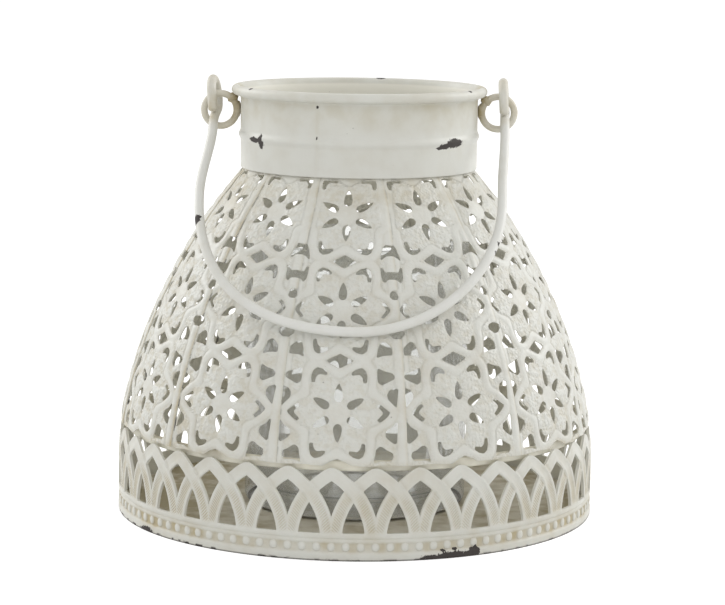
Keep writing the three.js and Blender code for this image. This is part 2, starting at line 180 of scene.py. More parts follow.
class ShaderGraph:
    """Node tree of a material or of the world, built node by node."""

    def __init__(self, owner: Owner) -> None:
        """Starts an empty tree.

        Args:
            owner: The material or the world that the tree belongs to.
        """
        owner.use_nodes = True
        self.owner = owner
        self.tree = owner.node_tree
        self.tree.nodes.clear()

    def node(self, kind: str, settings: dict, inputs: dict) -> bpy.types.Node:
        """Adds a node.

        Args:
            kind: The node's type.
            settings: Properties, which are set before the sockets.
            inputs: Values or signals, by the socket's name or number.

        Returns:
            The node.
        """
        node = self.tree.nodes.new(kind)
        for key, value in settings.items():
            setattr(node, key, value)
        for key, value in inputs.items():
            self.feed(node.inputs[key], value)
        return node

    def add(
        self,
        kind: str,
        settings: dict | None = None,
        inputs: dict | None = None,
        output: int | str = 0,
    ) -> Signal:
        """Adds a node and hands back one of its outputs.

        Args:
            kind: The node's type.
            settings: Properties, which are set before the sockets.
            inputs: Values or signals, by the socket's name or number.
            output: The output that the signal stands for.

        Returns:
            The signal of that output.
        """
        return Signal(self, self.node(kind, settings or {}, inputs or {}).outputs[output])

    def feed(self, socket: bpy.types.NodeSocket, value: object) -> None:
        """Links a signal to a socket or sets the socket's own value.

        Args:
            socket: The input socket.
            value: A signal, a number, a vector or a colour.
        """
        if isinstance(value, Signal):
            self.tree.links.new(value.socket, socket)
        else:
            socket.default_value = value

    def vector(self, operation: str, first: Signal, second: Sequence[float]) -> Signal:
        """Vector Math node of one operation on two vectors."""
        return self.add("ShaderNodeVectorMath", {"operation": operation}, {0: first, 1: second})

    def place(self) -> Signal:
        """Place on the piece in the frame at rest, in metres."""
        return self.add("ShaderNodeTexCoord", output="Object")

    def across(self, place: Signal, low: float, high: float) -> Signal:
        """Smooth step between two distances to the right of the lantern's middle."""
        right = self.add("ShaderNodeSeparateXYZ", {}, {0: place}, output="X")
        return right.eased(low * MM, high * MM)

    def attribute(self, name: str) -> Signal:
        """A number that the mesh holds at its points."""
        return self.add("ShaderNodeAttribute", {"attribute_name": name}, output="Fac")

    def noise(self, at: Signal, size: float, detail: float = 3.0, shift: float = 0.0) -> Signal:
        """Noise from 0 to 1.

        Args:
            at: The place it is read at.
            size: Size of its features in millimetres.
            detail: Octaves of detail.
            shift: Offset that makes one noise differ from another.

        Returns:
            The noise's value.
        """
        moved = self.vector("ADD", at, (shift, shift, shift))
        inputs = {"Vector": moved, "Scale": 1 / (size * MM), "Detail": detail}
        return self.add("ShaderNodeTexNoise", {}, inputs)

    def distance(self, at: Signal, centre: Sequence[float], reach: Sequence[float]) -> Signal:
        """Distance from a centre, in reaches along each axis.

        Args:
            at: The place it is read at.
            centre: The centre in millimetres.
            reach: Half sizes in millimetres.

        Returns:
            0 at the centre and 1 on the ellipsoid.
        """
        offset = self.vector("SUBTRACT", at, tuple(value * MM for value in centre))
        scaled = self.vector("DIVIDE", offset, tuple(value * MM for value in reach))
        length = {"operation": "LENGTH"}
        return self.add("ShaderNodeVectorMath", length, {0: scaled}, output="Value")

    def blend(self, share: Mixed, first: object, second: object) -> Signal:
        """Colour between two colours.

        Args:
            share: Share of the second colour, from 0 to 1.
            first: A signal or a colour.
            second: A signal or a colour.

        Returns:
            The blended colour.
        """
        settings = {"data_type": "RGBA", "clamp_factor": True}
        inputs = {"Factor": share, 6: first, 7: second}
        return self.add("ShaderNodeMix", settings, inputs, output=2)

    def bump(self, height: Signal, distance: float, strength: float) -> Signal:
        """Normal of a surface raised by a height, over a distance in millimetres."""
        inputs = {"Height": height, "Distance": distance * MM, "Strength": strength}
        return self.add("ShaderNodeBump", {}, inputs)

    def finish(self, shader: Signal, kind: str = "ShaderNodeOutputMaterial") -> Owner:
        """Links the shader to the output and hands the material or the world back."""
        self.node(kind, {}, {"Surface": shader})
        return self.owner


# Finishes


@dataclass(frozen=True)
class Chip:
    """A spot where the paint has come off, as an ellipsoid in the frame at rest."""

    centre: Point
    reach: Point


def on_round(radius: float, angle: float, height: float) -> Point:
    """Point on a circle about the lantern's axis, in millimetres."""
    turn = math.radians(angle)
    return (radius * math.sin(turn), -radius * math.cos(turn), height)


@dataclass(frozen=True)
class Enamel:
    """Cream paint with an antique wash in its recesses, a few chips down to dark metal, and painted
    light and shade.
    """

    name: str
    paint: Colour = paint_colour(208, 208, 201)
    shade: Colour = paint_colour(200, 198, 189)
    # Antique wash; in a few places its masks also lay painted shade.
    wash: Colour = paint_colour(178, 167, 138)
    # Lighter paint of the inner faces: painted light for the shaded inside of the lantern.
    inner_painted_light: Colour = paint_colour(224, 222, 211)
    # Dark metal of the chips, which also colours the painted shadow lines.
    metal: Colour = paint_colour(58, 53, 50)
    wash_strength: float = 1.0
    cloud_strength: float = 0.16
    roughness: float = 0.38
    chips: tuple[Chip, ...] = ()
    freckles: bool = True
    tear_sizes: Corner = (0.8, 3.2)
    wear_size: float = 4.5
    freckle_size: float = 1.1
    freckle_patch: float = 16.0
    cloud_size: float = 34.0
    streak_size: float = 7.0
    grain_size: float = 0.9
    ripple_size: float = 11.0
    dent_size: float = 2.6
    bump_height: float = 1.0
    bump_strength: float = 0.55

    def chipped(self, graph: ShaderGraph, place: Signal) -> Signal:
        """Mask of the chips, the specks and the dark lines at lapped edges and the gallery's foot,
        which are partly wear and partly painted shadow, torn at their rims by noise.

        Args:
            graph: The paint's graph.
            place: Place on the piece.

        Returns:
            0 on sound paint and 1 or more on chipped metal and on the dark lines of painted shadow.
        """
        fine, coarse = self.tear_sizes
        torn = graph.noise(place, fine, 2.0, 0.31) + graph.noise(place, coarse, 2.0, 0.77) * 0.8
        wear_and_shadow = graph.attribute("wear_and_shadow")
        left = graph.across(place, -20, -70)
        # Dark line at a lapped edge, partly wear and partly painted shadow of the overlapping edge;
        # the painted shadow is stronger towards the lantern's left.
        line = wear_and_shadow * graph.noise(place, self.wear_size, 3.0, 0.66).eased(0.5, 0.57)
        # Marks over 1 are the gallery's dark foot line, partly painted contact shadow.
        bare_and_shadow = line * (0.3 + left * 0.8) + (wear_and_shadow - 1).at_least(0) * 2
        for chip in self.chips:
            away = graph.distance(place, chip.centre, chip.reach)
            bare_and_shadow = bare_and_shadow.at_least((away + torn - 0.9).eased(0.98, 0.9))
        if self.freckles:
            speck = graph.noise(place, self.freckle_size, 1.0, 0.53).eased(0.79, 0.81)
            rare = graph.noise(place, self.freckle_patch, 1.0, 0.17).eased(0.62, 0.66)
            bare_and_shadow = bare_and_shadow.at_least(speck * rare)
        return bare_and_shadow

    def material(self) -> bpy.types.Material:
        """Builds the paint's node tree.

        Returns:
            The material.
        """
        graph = ShaderGraph(bpy.data.materials.new(self.name))
        place = graph.place()
        cloud = graph.noise(place, self.cloud_size, 4.0).eased(0.42, 0.72)
        streak = graph.noise(place, self.streak_size, 4.0, 0.4).eased(0.35, 0.75)
        grain = graph.noise(place, self.grain_size, 3.0, 0.9)
        held = graph.attribute("wash")
        # The wash grows towards the lantern's left and right sides.
        side_wash_gain = 1 + graph.across(place, -25, -90) * 1.1 + graph.across(place, 45, 95) * 0.5
        wash = held * (0.35 + cloud * 0.5 + streak * 0.55) * self.wash_strength
        wash = (wash + self.held_by_tooling(graph)) * side_wash_gain
        bare_and_shadow = self.chipped(graph, place)
        colour = graph.blend(cloud * 0.5 + streak * 0.3, self.paint, self.shade)
        colour = graph.blend(wash + cloud * self.cloud_strength * streak, colour, self.wash)
        # Inner faces take the lighter paint, as painted light for the shaded inside.
        colour = graph.blend(graph.attribute("inner"), colour, self.inner_painted_light)
        colour = graph.blend(bare_and_shadow, colour, self.metal)
        rough = self.roughness + wash * 0.2 + grain * 0.08 + bare_and_shadow * 0.3
        ripple = graph.noise(place, self.ripple_size, 2.0, 0.2)
        height = ripple * 0.35 + graph.noise(place, self.dent_size, 3.0, 0.6) * 0.12 - bare_and_shadow * 0.14
        normal = graph.bump(height + self.worked(graph), self.bump_height, self.bump_strength)
        inputs = {"Base Color": colour, "Roughness": rough, "Normal": normal, "IOR": REFRACTION}
        return graph.finish(graph.add("ShaderNodeBsdfPrincipled", {}, inputs, output="BSDF"))

    def worked(self, graph: ShaderGraph) -> Mixed:
        """Height of the tooling on the sheet, which plain enamel doesn't have."""
        return 0.0

    def held_by_tooling(self, graph: ShaderGraph) -> Mixed:
        """Share of wash that settles in the tooling."""
        return 0.0


@dataclass(frozen=True)
class StippledEnamel(Enamel):
    """Enamel on a hammered sheet whose ground is punched with small dots."""

    dot_pitch: float = 1.9
    lump_size: float = 2.6
    lump_height: float = 2.3

    def pattern(self, graph: ShaderGraph) -> Signal:
        """Place on the flat pattern."""
        return graph.add("ShaderNodeAttribute", {"attribute_name": "pattern"}, output="Vector")

    def lumps(self, graph: ShaderGraph) -> Signal:
        """Uneven hammering from 0 to 1."""
        return graph.noise(self.pattern(graph), self.lump_size, 2.0, 0.1)

    def worked(self, graph: ShaderGraph) -> Signal:
        """Height of the dots and lumps, where the mesh says that the ground is stippled.

        Args:
            graph: The paint's graph.

        Returns:
            The height over the plain sheet.
        """
        scale = 1 / (self.dot_pitch * MM)
        inputs = {"Vector": self.pattern(graph), "Scale": scale, "Randomness": 0.7}
        settings = {"voronoi_dimensions": "2D"}
        cells = graph.add("ShaderNodeTexVoronoi", settings, inputs, output="Distance")
        dots = cells.eased(0.5, 0.1) * 0.25
        ground = 0.25 + graph.attribute("stipple") * 0.75
        return dots * graph.attribute("stipple") + self.lumps(graph) * ground * self.lump_height

    def held_by_tooling(self, graph: ShaderGraph) -> Signal:
        """Wash in the hollows between the lumps."""
        hollow = self.lumps(graph).eased(0.56, 0.36)
        return hollow * (0.3 + graph.attribute("stipple") * 0.7) * 0.19


@dataclass(frozen=True)
class HatchedEnamel(Enamel):
    """Enamel on straps whose sunk middle is hatched in a herringbone."""

    hatch_pitch: float = 1.35
    hatch_height: float = 0.16

    def cut(self, graph: ShaderGraph) -> Signal:
        """Wave of the hatching, where the mesh says that the strap is hatched.

        Args:
            graph: The paint's graph.

        Returns:
            The wave from -1 to 1.
        """
        slant = graph.attribute("slant") * (math.tau / self.hatch_pitch)
        wave = graph.add("ShaderNodeMath", {"operation": "SINE"}, {0: slant})
        return wave * graph.attribute("hatch")

    def worked(self, graph: ShaderGraph) -> Signal:
        """Height of the hatching."""
        return self.cut(graph) * self.hatch_height

    def held_by_tooling(self, graph: ShaderGraph) -> Signal:
        """Wash in the cuts of the hatching."""
        return (0.0 - self.cut(graph)).at_least(0.0) * 0.5


@dataclass(frozen=True)
class ClearGlass:
    """Thin clear glass that lamps shine through, with a painted contact shadow round its heel and a
    pale painted sheen.
    """

    name: str = "lantern_glass"
    tint: Colour = (0.985, 0.99, 0.988, 1.0)
    # Dark ring where the glass stands: painted contact shadow.
    edge: Colour = paint_colour(38, 37, 36)
    # Pale colour laid over the glass as painted sheen.
    painted_sheen: Colour = paint_colour(250, 250, 247)
    gloss_share: float = 0.55
    gloss_roughness: float = 0.05
    painted_sheen_roughness: float = 0.25
    haze_size: float = 26.0
    haze_share: float = 0.05

    def material(self) -> bpy.types.Material:
        """Builds the glass's node tree.

        Returns:
            The material.
        """
        graph = ShaderGraph(bpy.data.materials.new(self.name))
        clear = graph.add("ShaderNodeBsdfTransparent", {}, {"Color": self.tint}, output="BSDF")
        rough = {"Roughness": self.gloss_roughness}
        gloss = graph.add("ShaderNodeBsdfGlossy", {}, rough, output="BSDF")
        facing = graph.add("ShaderNodeFresnel", {}, {"IOR": REFRACTION}) * self.gloss_share
        pane = graph.add("ShaderNodeMixShader", {}, {0: facing, 1: clear, 2: gloss}, output="Shader")
        # Painted sheen, which turns to painted contact shadow where the heel is marked.
        colour = graph.blend(graph.attribute("edge"), self.painted_sheen, self.edge)
        inputs = {"Base Color": colour, "Roughness": self.painted_sheen_roughness}
        shade = graph.add("ShaderNodeBsdfPrincipled", {}, inputs, output="BSDF")
        haze = graph.noise(graph.place(), self.haze_size, 3.0, 0.3).eased(0.4, 0.8)
        held = haze * self.haze_share + graph.attribute("painted_sheen") + graph.attribute("edge")
        inputs = {0: held.at_most(1.0), 1: pane, 2: shade}
        return graph.finish(graph.add("ShaderNodeMixShader", {}, inputs, output="Shader"))


# Distances in a flat pattern, in millimetres: negative inside a hole


def to_stroke(x: np.ndarray, y: np.ndarray, route: Sequence[Corner], half: float) -> np.ndarray:
    """Distance to a slot that follows a route.

    Args:
        x: Places across the sheet.
        y: Places along the sheet.
        route: Points of the slot's centreline.
        half: Half of the slot's width.

    Returns:
        The signed distance at each place.
    """
    nearest = np.full(x.shape, np.inf)
    for (ax, ay), (bx, by) in zip(route, route[1:]):
        dx, dy = bx - ax, by - ay
        share = np.clip(((x - ax) * dx + (y - ay) * dy) / (dx * dx + dy * dy), 0, 1)
        nearest = np.minimum(nearest, np.hypot(x - ax - share * dx, y - ay - share * dy))
    return nearest - half


def to_polygon(
    x: np.ndarray, y: np.ndarray, corners: Sequence[Corner], rounding: float = 0.35
) -> np.ndarray:
    """Distance to a hole with straight sides and slightly rounded corners.

    Args:
        x: Places across the sheet.
        y: Places along the sheet.
        corners: The hole's corners in order.
        rounding: Radius of its corners.

    Returns:
        The signed distance at each place.
    """
    points = np.array(corners)
    after = np.roll(points, -1, 0)
    way = np.sign((points[:, 0] * after[:, 1] - after[:, 0] * points[:, 1]).sum())
    ahead = (after - points) / np.linalg.norm(after - points, axis=1)[:, None]
    inward = np.stack([-ahead[:, 1], ahead[:, 0]], 1) * way
    before = np.roll(inward, 1, 0)
    turn = 1 + (inward * before).sum(1)
    inset = points + (inward + before) * (rounding / turn)[:, None]
    ends = np.roll(inset, -1, 0)
    away = to_stroke(x, y, [tuple(point) for point in [*inset, inset[0]]], 0.0)
    inside = np.zeros(x.shape, bool)
    for (ax, ay), (bx, by) in zip(inset, ends):
        if ay != by:
            crossing = (bx - ax) * (y - ay) / (by - ay) + ax
            inside ^= ((ay > y) != (by > y)) & (x < crossing)
    return np.where(inside, -away, away) - rounding


def to_petal(
    x: np.ndarray, y: np.ndarray, angle: float, reach: Sequence[float], half: float
) -> np.ndarray:
    """Distance to a petal that points away from the origin, with bowed sides and a sharp tip.

    Args:
        x: Places across the sheet, from the petal's origin.
        y: Places along the sheet, from the petal's origin.
        angle: Direction of the petal, from the sheet's right.
        reach: Distances from the origin to its round end, its widest place and its tip.
        half: Half of its greatest width.

    Returns:
        The signed distance at each place.
    """
    start, waist, tip = reach
    turn = math.radians(angle)
    along = x * math.cos(turn) + y * math.sin(turn) - waist
    aside = np.abs(y * math.cos(turn) - x * math.sin(turn))
    bow = ((tip - waist) ** 2 + half**2) / (2 * half)
    flank = np.hypot(along, aside + bow - half) - bow
    butt = np.hypot(along * half / (waist - start), aside) - half
    return np.where(along > 0, flank, butt)


def eased(values: np.ndarray, low: float, high: float) -> np.ndarray:
    """Smooth step of an array from 0 at low to 1 at high."""
    share = np.clip((values - low) / (high - low), 0, 1)
    return share * share * (3 - 2 * share)


# Meshes


@dataclass
class Solid:
    """Points in millimetres, faces and the numbers that a finish reads at the points."""

    points: np.ndarray
    faces: list
    numbers: dict[str, np.ndarray] = field(default_factory=dict)

    def joined(self, other: "Solid") -> "Solid":
        """This solid and another as one mesh, with zeros where a number is missing.

        Args:
            other: The solid to add.

        Returns:
            The joined solid.
        """
        count = len(self.points)
        faces = self.faces + [[corner + count for corner in face] for face in other.faces]
        numbers = {}
        for name in {**self.numbers, **other.numbers}:
            shape = self.numbers.get(name, other.numbers.get(name)).shape[1:]
            parts = [
                solid.numbers.get(name, np.zeros((len(solid.points), *shape)))
                for solid in (self, other)
            ]
            numbers[name] = np.concatenate(parts)
        return Solid(np.concatenate([self.points, other.points]), faces, numbers)

    def turned(self, angle: float) -> "Solid":
        """This solid turned about the lantern's axis.

        Args:
            angle: The turn from the front towards +X.

        Returns:
            The turned solid.
        """
        cos, sin = math.cos(math.radians(angle)), math.sin(math.radians(angle))
        spin = np.array([[cos, sin, 0], [-sin, cos, 0], [0, 0, 1]])
        return Solid(self.points @ spin, self.faces, self.numbers)

    def make(
        self,
        name: str,
        material: bpy.types.Material,
        body: Body,
        slot: Slot,
        replaces: Iterable[str] = (),
        crease: float = 38.0,
    ) -> bpy.types.Object:
        """Makes the piece and joins it to the frame.

        Args:
            name: The piece's name.
            material: Its finish.
            body: The body that it rides on.
            slot: The record's slot for its finish; not used.
            replaces: The CAD nodes that it stands for.
            crease: Angle between faces from which an edge is sharp.

        Returns:
            The object.
        """
        mesh = bpy.data.meshes.new(name)
        mesh.from_pydata((self.points * MM).tolist(), [], self.faces)
        mesh.validate()
        for key, values in self.numbers.items():
            kind, part = ("FLOAT_VECTOR", "vector") if values.ndim == 2 else ("FLOAT", "value")
            numbers = mesh.attributes.new(key, kind, "POINT")
            numbers.data.foreach_set(part, values.astype(np.float32).ravel())
        mesh.polygons.foreach_set("use_smooth", [True] * len(mesh.polygons))
        mesh.set_sharp_from_angle(angle=math.radians(crease))
        mesh.materials.append(material)
        piece = bpy.data.objects.new(name, mesh)
        bpy.context.scene.collection.objects.link(piece)
        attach(piece, body.value)
        if replaces:
            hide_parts(*replaces)
        LOG.info("%s: %d faces, rides on %s", name, len(mesh.polygons), body.value)
        return piece


@dataclass
class CutSheet:
    """Flat sheet cut out of a grid along the line where its metal ends.

    Attributes:
        across: Places of the grid's columns.
        levels: Places of the grid's rows.
        metal: Distance into the metal at each grid point, negative in a hole.
        round: True where the last column meets the first.
        least_share: Least share of a grid edge between a cut and the nearer grid point.
    """

    across: np.ndarray
    levels: np.ndarray
    metal: np.ndarray
    round: bool = False
    least_share: float = 0.1

    def __post_init__(self) -> None:
        """Cuts the sheet."""
        self.known: dict = {}
        self.places: list = []
        self.faces: list = []
        self.rims: list = []
        columns = len(self.across) - (0 if self.round else 1)
        for column in range(columns):
            for row in range(len(self.levels) - 1):
                self._cut_cell(column, row)

    def _corner(self, spot: tuple[int, int]) -> int:
        """Point on a grid corner.

        Args:
            spot: Column and row of the corner.

        Returns:
            The point's number.
        """
        if spot not in self.known:
            self.known[spot] = len(self.places)
            self.places.append((self.across[spot[0]], self.levels[spot[1]]))
        return self.known[spot]

    def _crossing(self, one: tuple[int, int], two: tuple[int, int]) -> int:
        """Point on a grid edge where the metal ends.

        Args:
            one: Column and row of one end of the edge.
            two: Column and row of its other end.

        Returns:
            The point's number.
        """
        key = (one, two) if one < two else (two, one)
        if key not in self.known:
            near, far = (self.metal[spot] for spot in key)
            share = min(max(near / (near - far), self.least_share), 1 - self.least_share)
            start, end = ([self.across[spot[0]], self.levels[spot[1]]] for spot in key)
            step = self.across[1] - self.across[0]
            if self.round and abs(end[0] - start[0]) > 2 * step:
                end[0] = start[0] - step
            self.known[key] = len(self.places)
            self.places.append(tuple(low + share * (high - low) for low, high in zip(start, end)))
        return self.known[key]

    def _cut_cell(self, column: int, row: int) -> None:
        """Adds the face of one cell and the rim where it is cut.

        Args:
            column: Column of the cell's left side.
            row: Row of its lower side.
        """
        right = (column + 1) % len(self.across)
        spots = [(column, row), (right, row), (right, row + 1), (column, row + 1)]
        inside = [self.metal[spot] > 0 for spot in spots]
        if not any(inside):
            return
        face, cuts = [], []
        for i, spot in enumerate(spots):
            after = (i + 1) % 4
            if inside[i]:
                face.append(self._corner(spot))
            if inside[i] != inside[after]:
                cut = self._crossing(spot, spots[after])
                face.append(cut)
                cuts.append((cut, inside[i]))
        self.faces.append(face)
        for i, (cut, leaves) in enumerate(cuts):
            if leaves:
                self.rims.append((cut, cuts[(i + 1) % len(cuts)][0]))

    def solid(self, outer: Rule, inner: Rule, numbers: dict[str, Rule]) -> Solid:
        """Bends the sheet into place and closes it at its rims.

        Args:
            outer: Place in the frame of a point on the outer face.
            inner: Place in the frame of a point on the inner face.
            numbers: The numbers that the finish reads, as functions of the flat place.

        Returns:
            The closed solid.
        """
        flat = np.array(self.places)
        x, y = flat[:, 0], flat[:, 1]
        count = len(flat)
        faces = self.faces + [[corner + count for corner in reversed(face)] for face in self.faces]
        faces += [[b, a, a + count, b + count] for a, b in self.rims]
        points = np.concatenate([outer(x, y), inner(x, y)])
        values = {name: np.concatenate([rule(x, y)] * 2) for name, rule in numbers.items()}
        # Marks the inner faces, which the finishes paint lighter as painted light.
        values["inner"] = np.repeat([0.0, 1.0], count)
        return Solid(points, faces, values)


def turned_solid(outline: Sequence[Corner], segments: int = 192, closed: bool = True) -> Solid:
    """Solid turned about the lantern's axis.

    Args:
        outline: Radius and height of each point, in order. It closes on itself, or starts and
            ends on the axis.
        segments: Steps round the axis.
        closed: False where the outline starts and ends on the axis.

    Returns:
        The solid.
    """
    steps = np.arange(segments) * (math.tau / segments)
    rings, points, faces = [], [], []
    for radius, height in outline:
        start = len(points)
        if radius < 1e-6:
            points.append((0.0, 0.0, height))
            rings.append([start] * segments)
        else:
            points.extend((radius * math.sin(a), -radius * math.cos(a), height) for a in steps)
            rings.append(list(range(start, start + segments)))
    pairs = list(zip(rings, rings[1:])) + ([(rings[-1], rings[0])] if closed else [])
    for low, high in pairs:
        for i in range(segments):
            j = (i + 1) % segments
            face = list(dict.fromkeys((low[i], low[j], high[j], high[i])))
            if len(face) > 2:
                faces.append(face)
    return Solid(np.array(points), faces)


def arc(
    centre: Corner, radius: float, start: float, end: float, steps: int = 6, tall: float = 1.0
) -> list[Corner]:
    """Points on an arc of a circle or an upright ellipse.

    Args:
        centre: Its middle, as radius and height.
        radius: Its half width.
        start: Angle of its first point, from the direction away from the axis.
        end: Angle of its last point.
        steps: Stretches that it has.
        tall: Its half height over its half width.

    Returns:
        The points.
    """
    turns = [math.radians(start + (end - start) * i / steps) for i in range(steps + 1)]
    return [
        (centre[0] + radius * math.cos(t), centre[1] + radius * tall * math.sin(t)) for t in turns
    ]


def bezier(points: Sequence[Vector], steps: int) -> list[Vector]:
    """Points on a Bezier curve.

    Args:
        points: Its control points.
        steps: Stretches that it has.

    Returns:
        The curve's points.
    """
    curve = []
    for i in range(steps + 1):
        level = list(points)
        while len(level) > 1:
            level = [a.lerp(b, i / steps) for a, b in zip(level, level[1:])]
        curve.append(level[0])
    return curve


def wire(route: np.ndarray, radius: float, sides: int = 20, closed: bool = False) -> Solid:
    """Round wire along a route, with domed ends where it is open.

    Args:
        route: Points of its centreline in millimetres.
        radius: Radius of the wire.
        sides: Points round its section.
        closed: True where its ends meet.

    Returns:
        The solid.
    """
    ahead = np.roll(route, -1, 0) - np.roll(route, 1, 0)
    if not closed:
        ahead[0], ahead[-1] = route[1] - route[0], route[-1] - route[-2]
    ahead /= np.linalg.norm(ahead, axis=1)[:, None]
    across = np.cross(ahead[0], (0.0, 0.0, 1.0) if abs(ahead[0][2]) < 0.9 else (0.0, 1.0, 0.0))
    rings = []
    for along in ahead:
        across = across - along * np.dot(across, along)
        across /= np.linalg.norm(across)
        rings.append((across, np.cross(along, across)))
    turns = np.arange(sides) * (math.tau / sides)
    sections = [(route[i], *rings[i], radius) for i in range(len(route))]
    if not closed:
        first, last = sections[0], sections[-1]
        dome = 0.6 * radius
        for width, out in ((0.92, 0.4), (0.55, 0.84), (0.0, 1.0)):
            before, after = route[0] - ahead[0] * dome * out, route[-1] + ahead[-1] * dome * out
            sections.insert(0, (before, *first[1:3], radius * width))
            sections.append((after, *last[1:3], radius * width))
    points = np.concatenate(
        [
            centre + width * (np.outer(np.cos(turns), side) + np.outer(np.sin(turns), up))
            for centre, side, up, width in sections
        ]
    )
    faces = []
    for i in range(len(sections) - (0 if closed else 1)):
        low, high = i * sides, ((i + 1) % len(sections)) * sides
        for j in range(sides):
            k = (j + 1) % sides
            faces.append([low + j, low + k, high + k, high + j])
    return Solid(points, faces)


# The lantern


@dataclass
class DomeProfile:
    """Outer face of the dome in radius and height, by the level along the sheet."""

    foot_radius: float
    shoulder: float = 28.0
    shoulder_pull: float = 0.75
    neck_radius: float = 50.6
    neck: float = 151.0
    neck_lean: float = 39.75
    neck_pull: float = 82.0
    flange: float = 3.4
    foot_steps: int = 60
    curve_steps: int = 1200
    flange_steps: int = 8

    def __post_init__(self) -> None:
        """Samples the profile."""
        lean = math.radians(self.neck_lean)
        share = np.linspace(0, 1, self.curve_steps)[:, None]
        start = np.array([self.foot_radius, self.shoulder])
        first = np.array([self.foot_radius, self.shoulder + self.shoulder_pull])
        end = np.array([self.neck_radius, self.neck])
        second = end + self.neck_pull * np.array([math.sin(lean), -math.cos(lean)])
        curve = (
            (1 - share) ** 3 * start
            + 3 * (1 - share) ** 2 * share * first
            + 3 * (1 - share) * share**2 * second
            + share**3 * end
        )
        upright = np.linspace(0, self.shoulder, self.foot_steps)[:-1]
        foot = [[self.foot_radius, height] for height in upright]
        shares = [(i + 1) / self.flange_steps for i in range(self.flange_steps)]
        top = [[self.neck_radius, self.neck + self.flange * part] for part in shares]
        points = np.concatenate([foot, curve, top])
        steps = np.linalg.norm(np.diff(points, axis=0), axis=1)
        self.levels = np.concatenate([[0], np.cumsum(steps)])
        self.radii, self.heights = points[:, 0], points[:, 1]
        slope = np.gradient(points, self.levels, axis=0)
        slope /= np.linalg.norm(slope, axis=1)[:, None]
        self.out_radius, self.out_height = slope[:, 1], -slope[:, 0]
        self.top = self.levels[-1]
        self.neck_level = self.top - self.flange

    def radius(self, level: np.ndarray) -> np.ndarray:
        """Radius of the dome at a level."""
        return np.interp(level, self.levels, self.radii)

    def place(self, angle: np.ndarray, level: np.ndarray, outward: np.ndarray) -> np.ndarray:
        """Place of a point on the dome.

        Args:
            angle: Angle in radians from the front.
            level: Level along the sheet.
            outward: Distance off the dome's face, square to it.

        Returns:
            Points in the frame in millimetres.
        """
        radius = self.radius(level) + outward * np.interp(level, self.levels, self.out_radius)
        height = np.interp(level, self.levels, self.heights)
        height = height + outward * np.interp(level, self.levels, self.out_height)
        return np.stack([radius * np.sin(angle), -radius * np.cos(angle), height], 1)


@dataclass(frozen=True)
class Hole:
    """A hole with straight sides, cut to the right and mirrored to the left of the middle.

    Attributes:
        level: The level that its corners are measured from.
        corners: Its corners in order, across from the middle and up from the level.
        up_and_down: True where it is mirrored about its level too.
    """

    level: float
    corners: Sequence[Corner]
    up_and_down: bool = False

    def distance(self, x: np.ndarray, s: np.ndarray) -> np.ndarray:
        """Signed distance to the hole."""
        y = s - self.level
        return to_polygon(np.abs(x), np.abs(y) if self.up_and_down else y, self.corners)


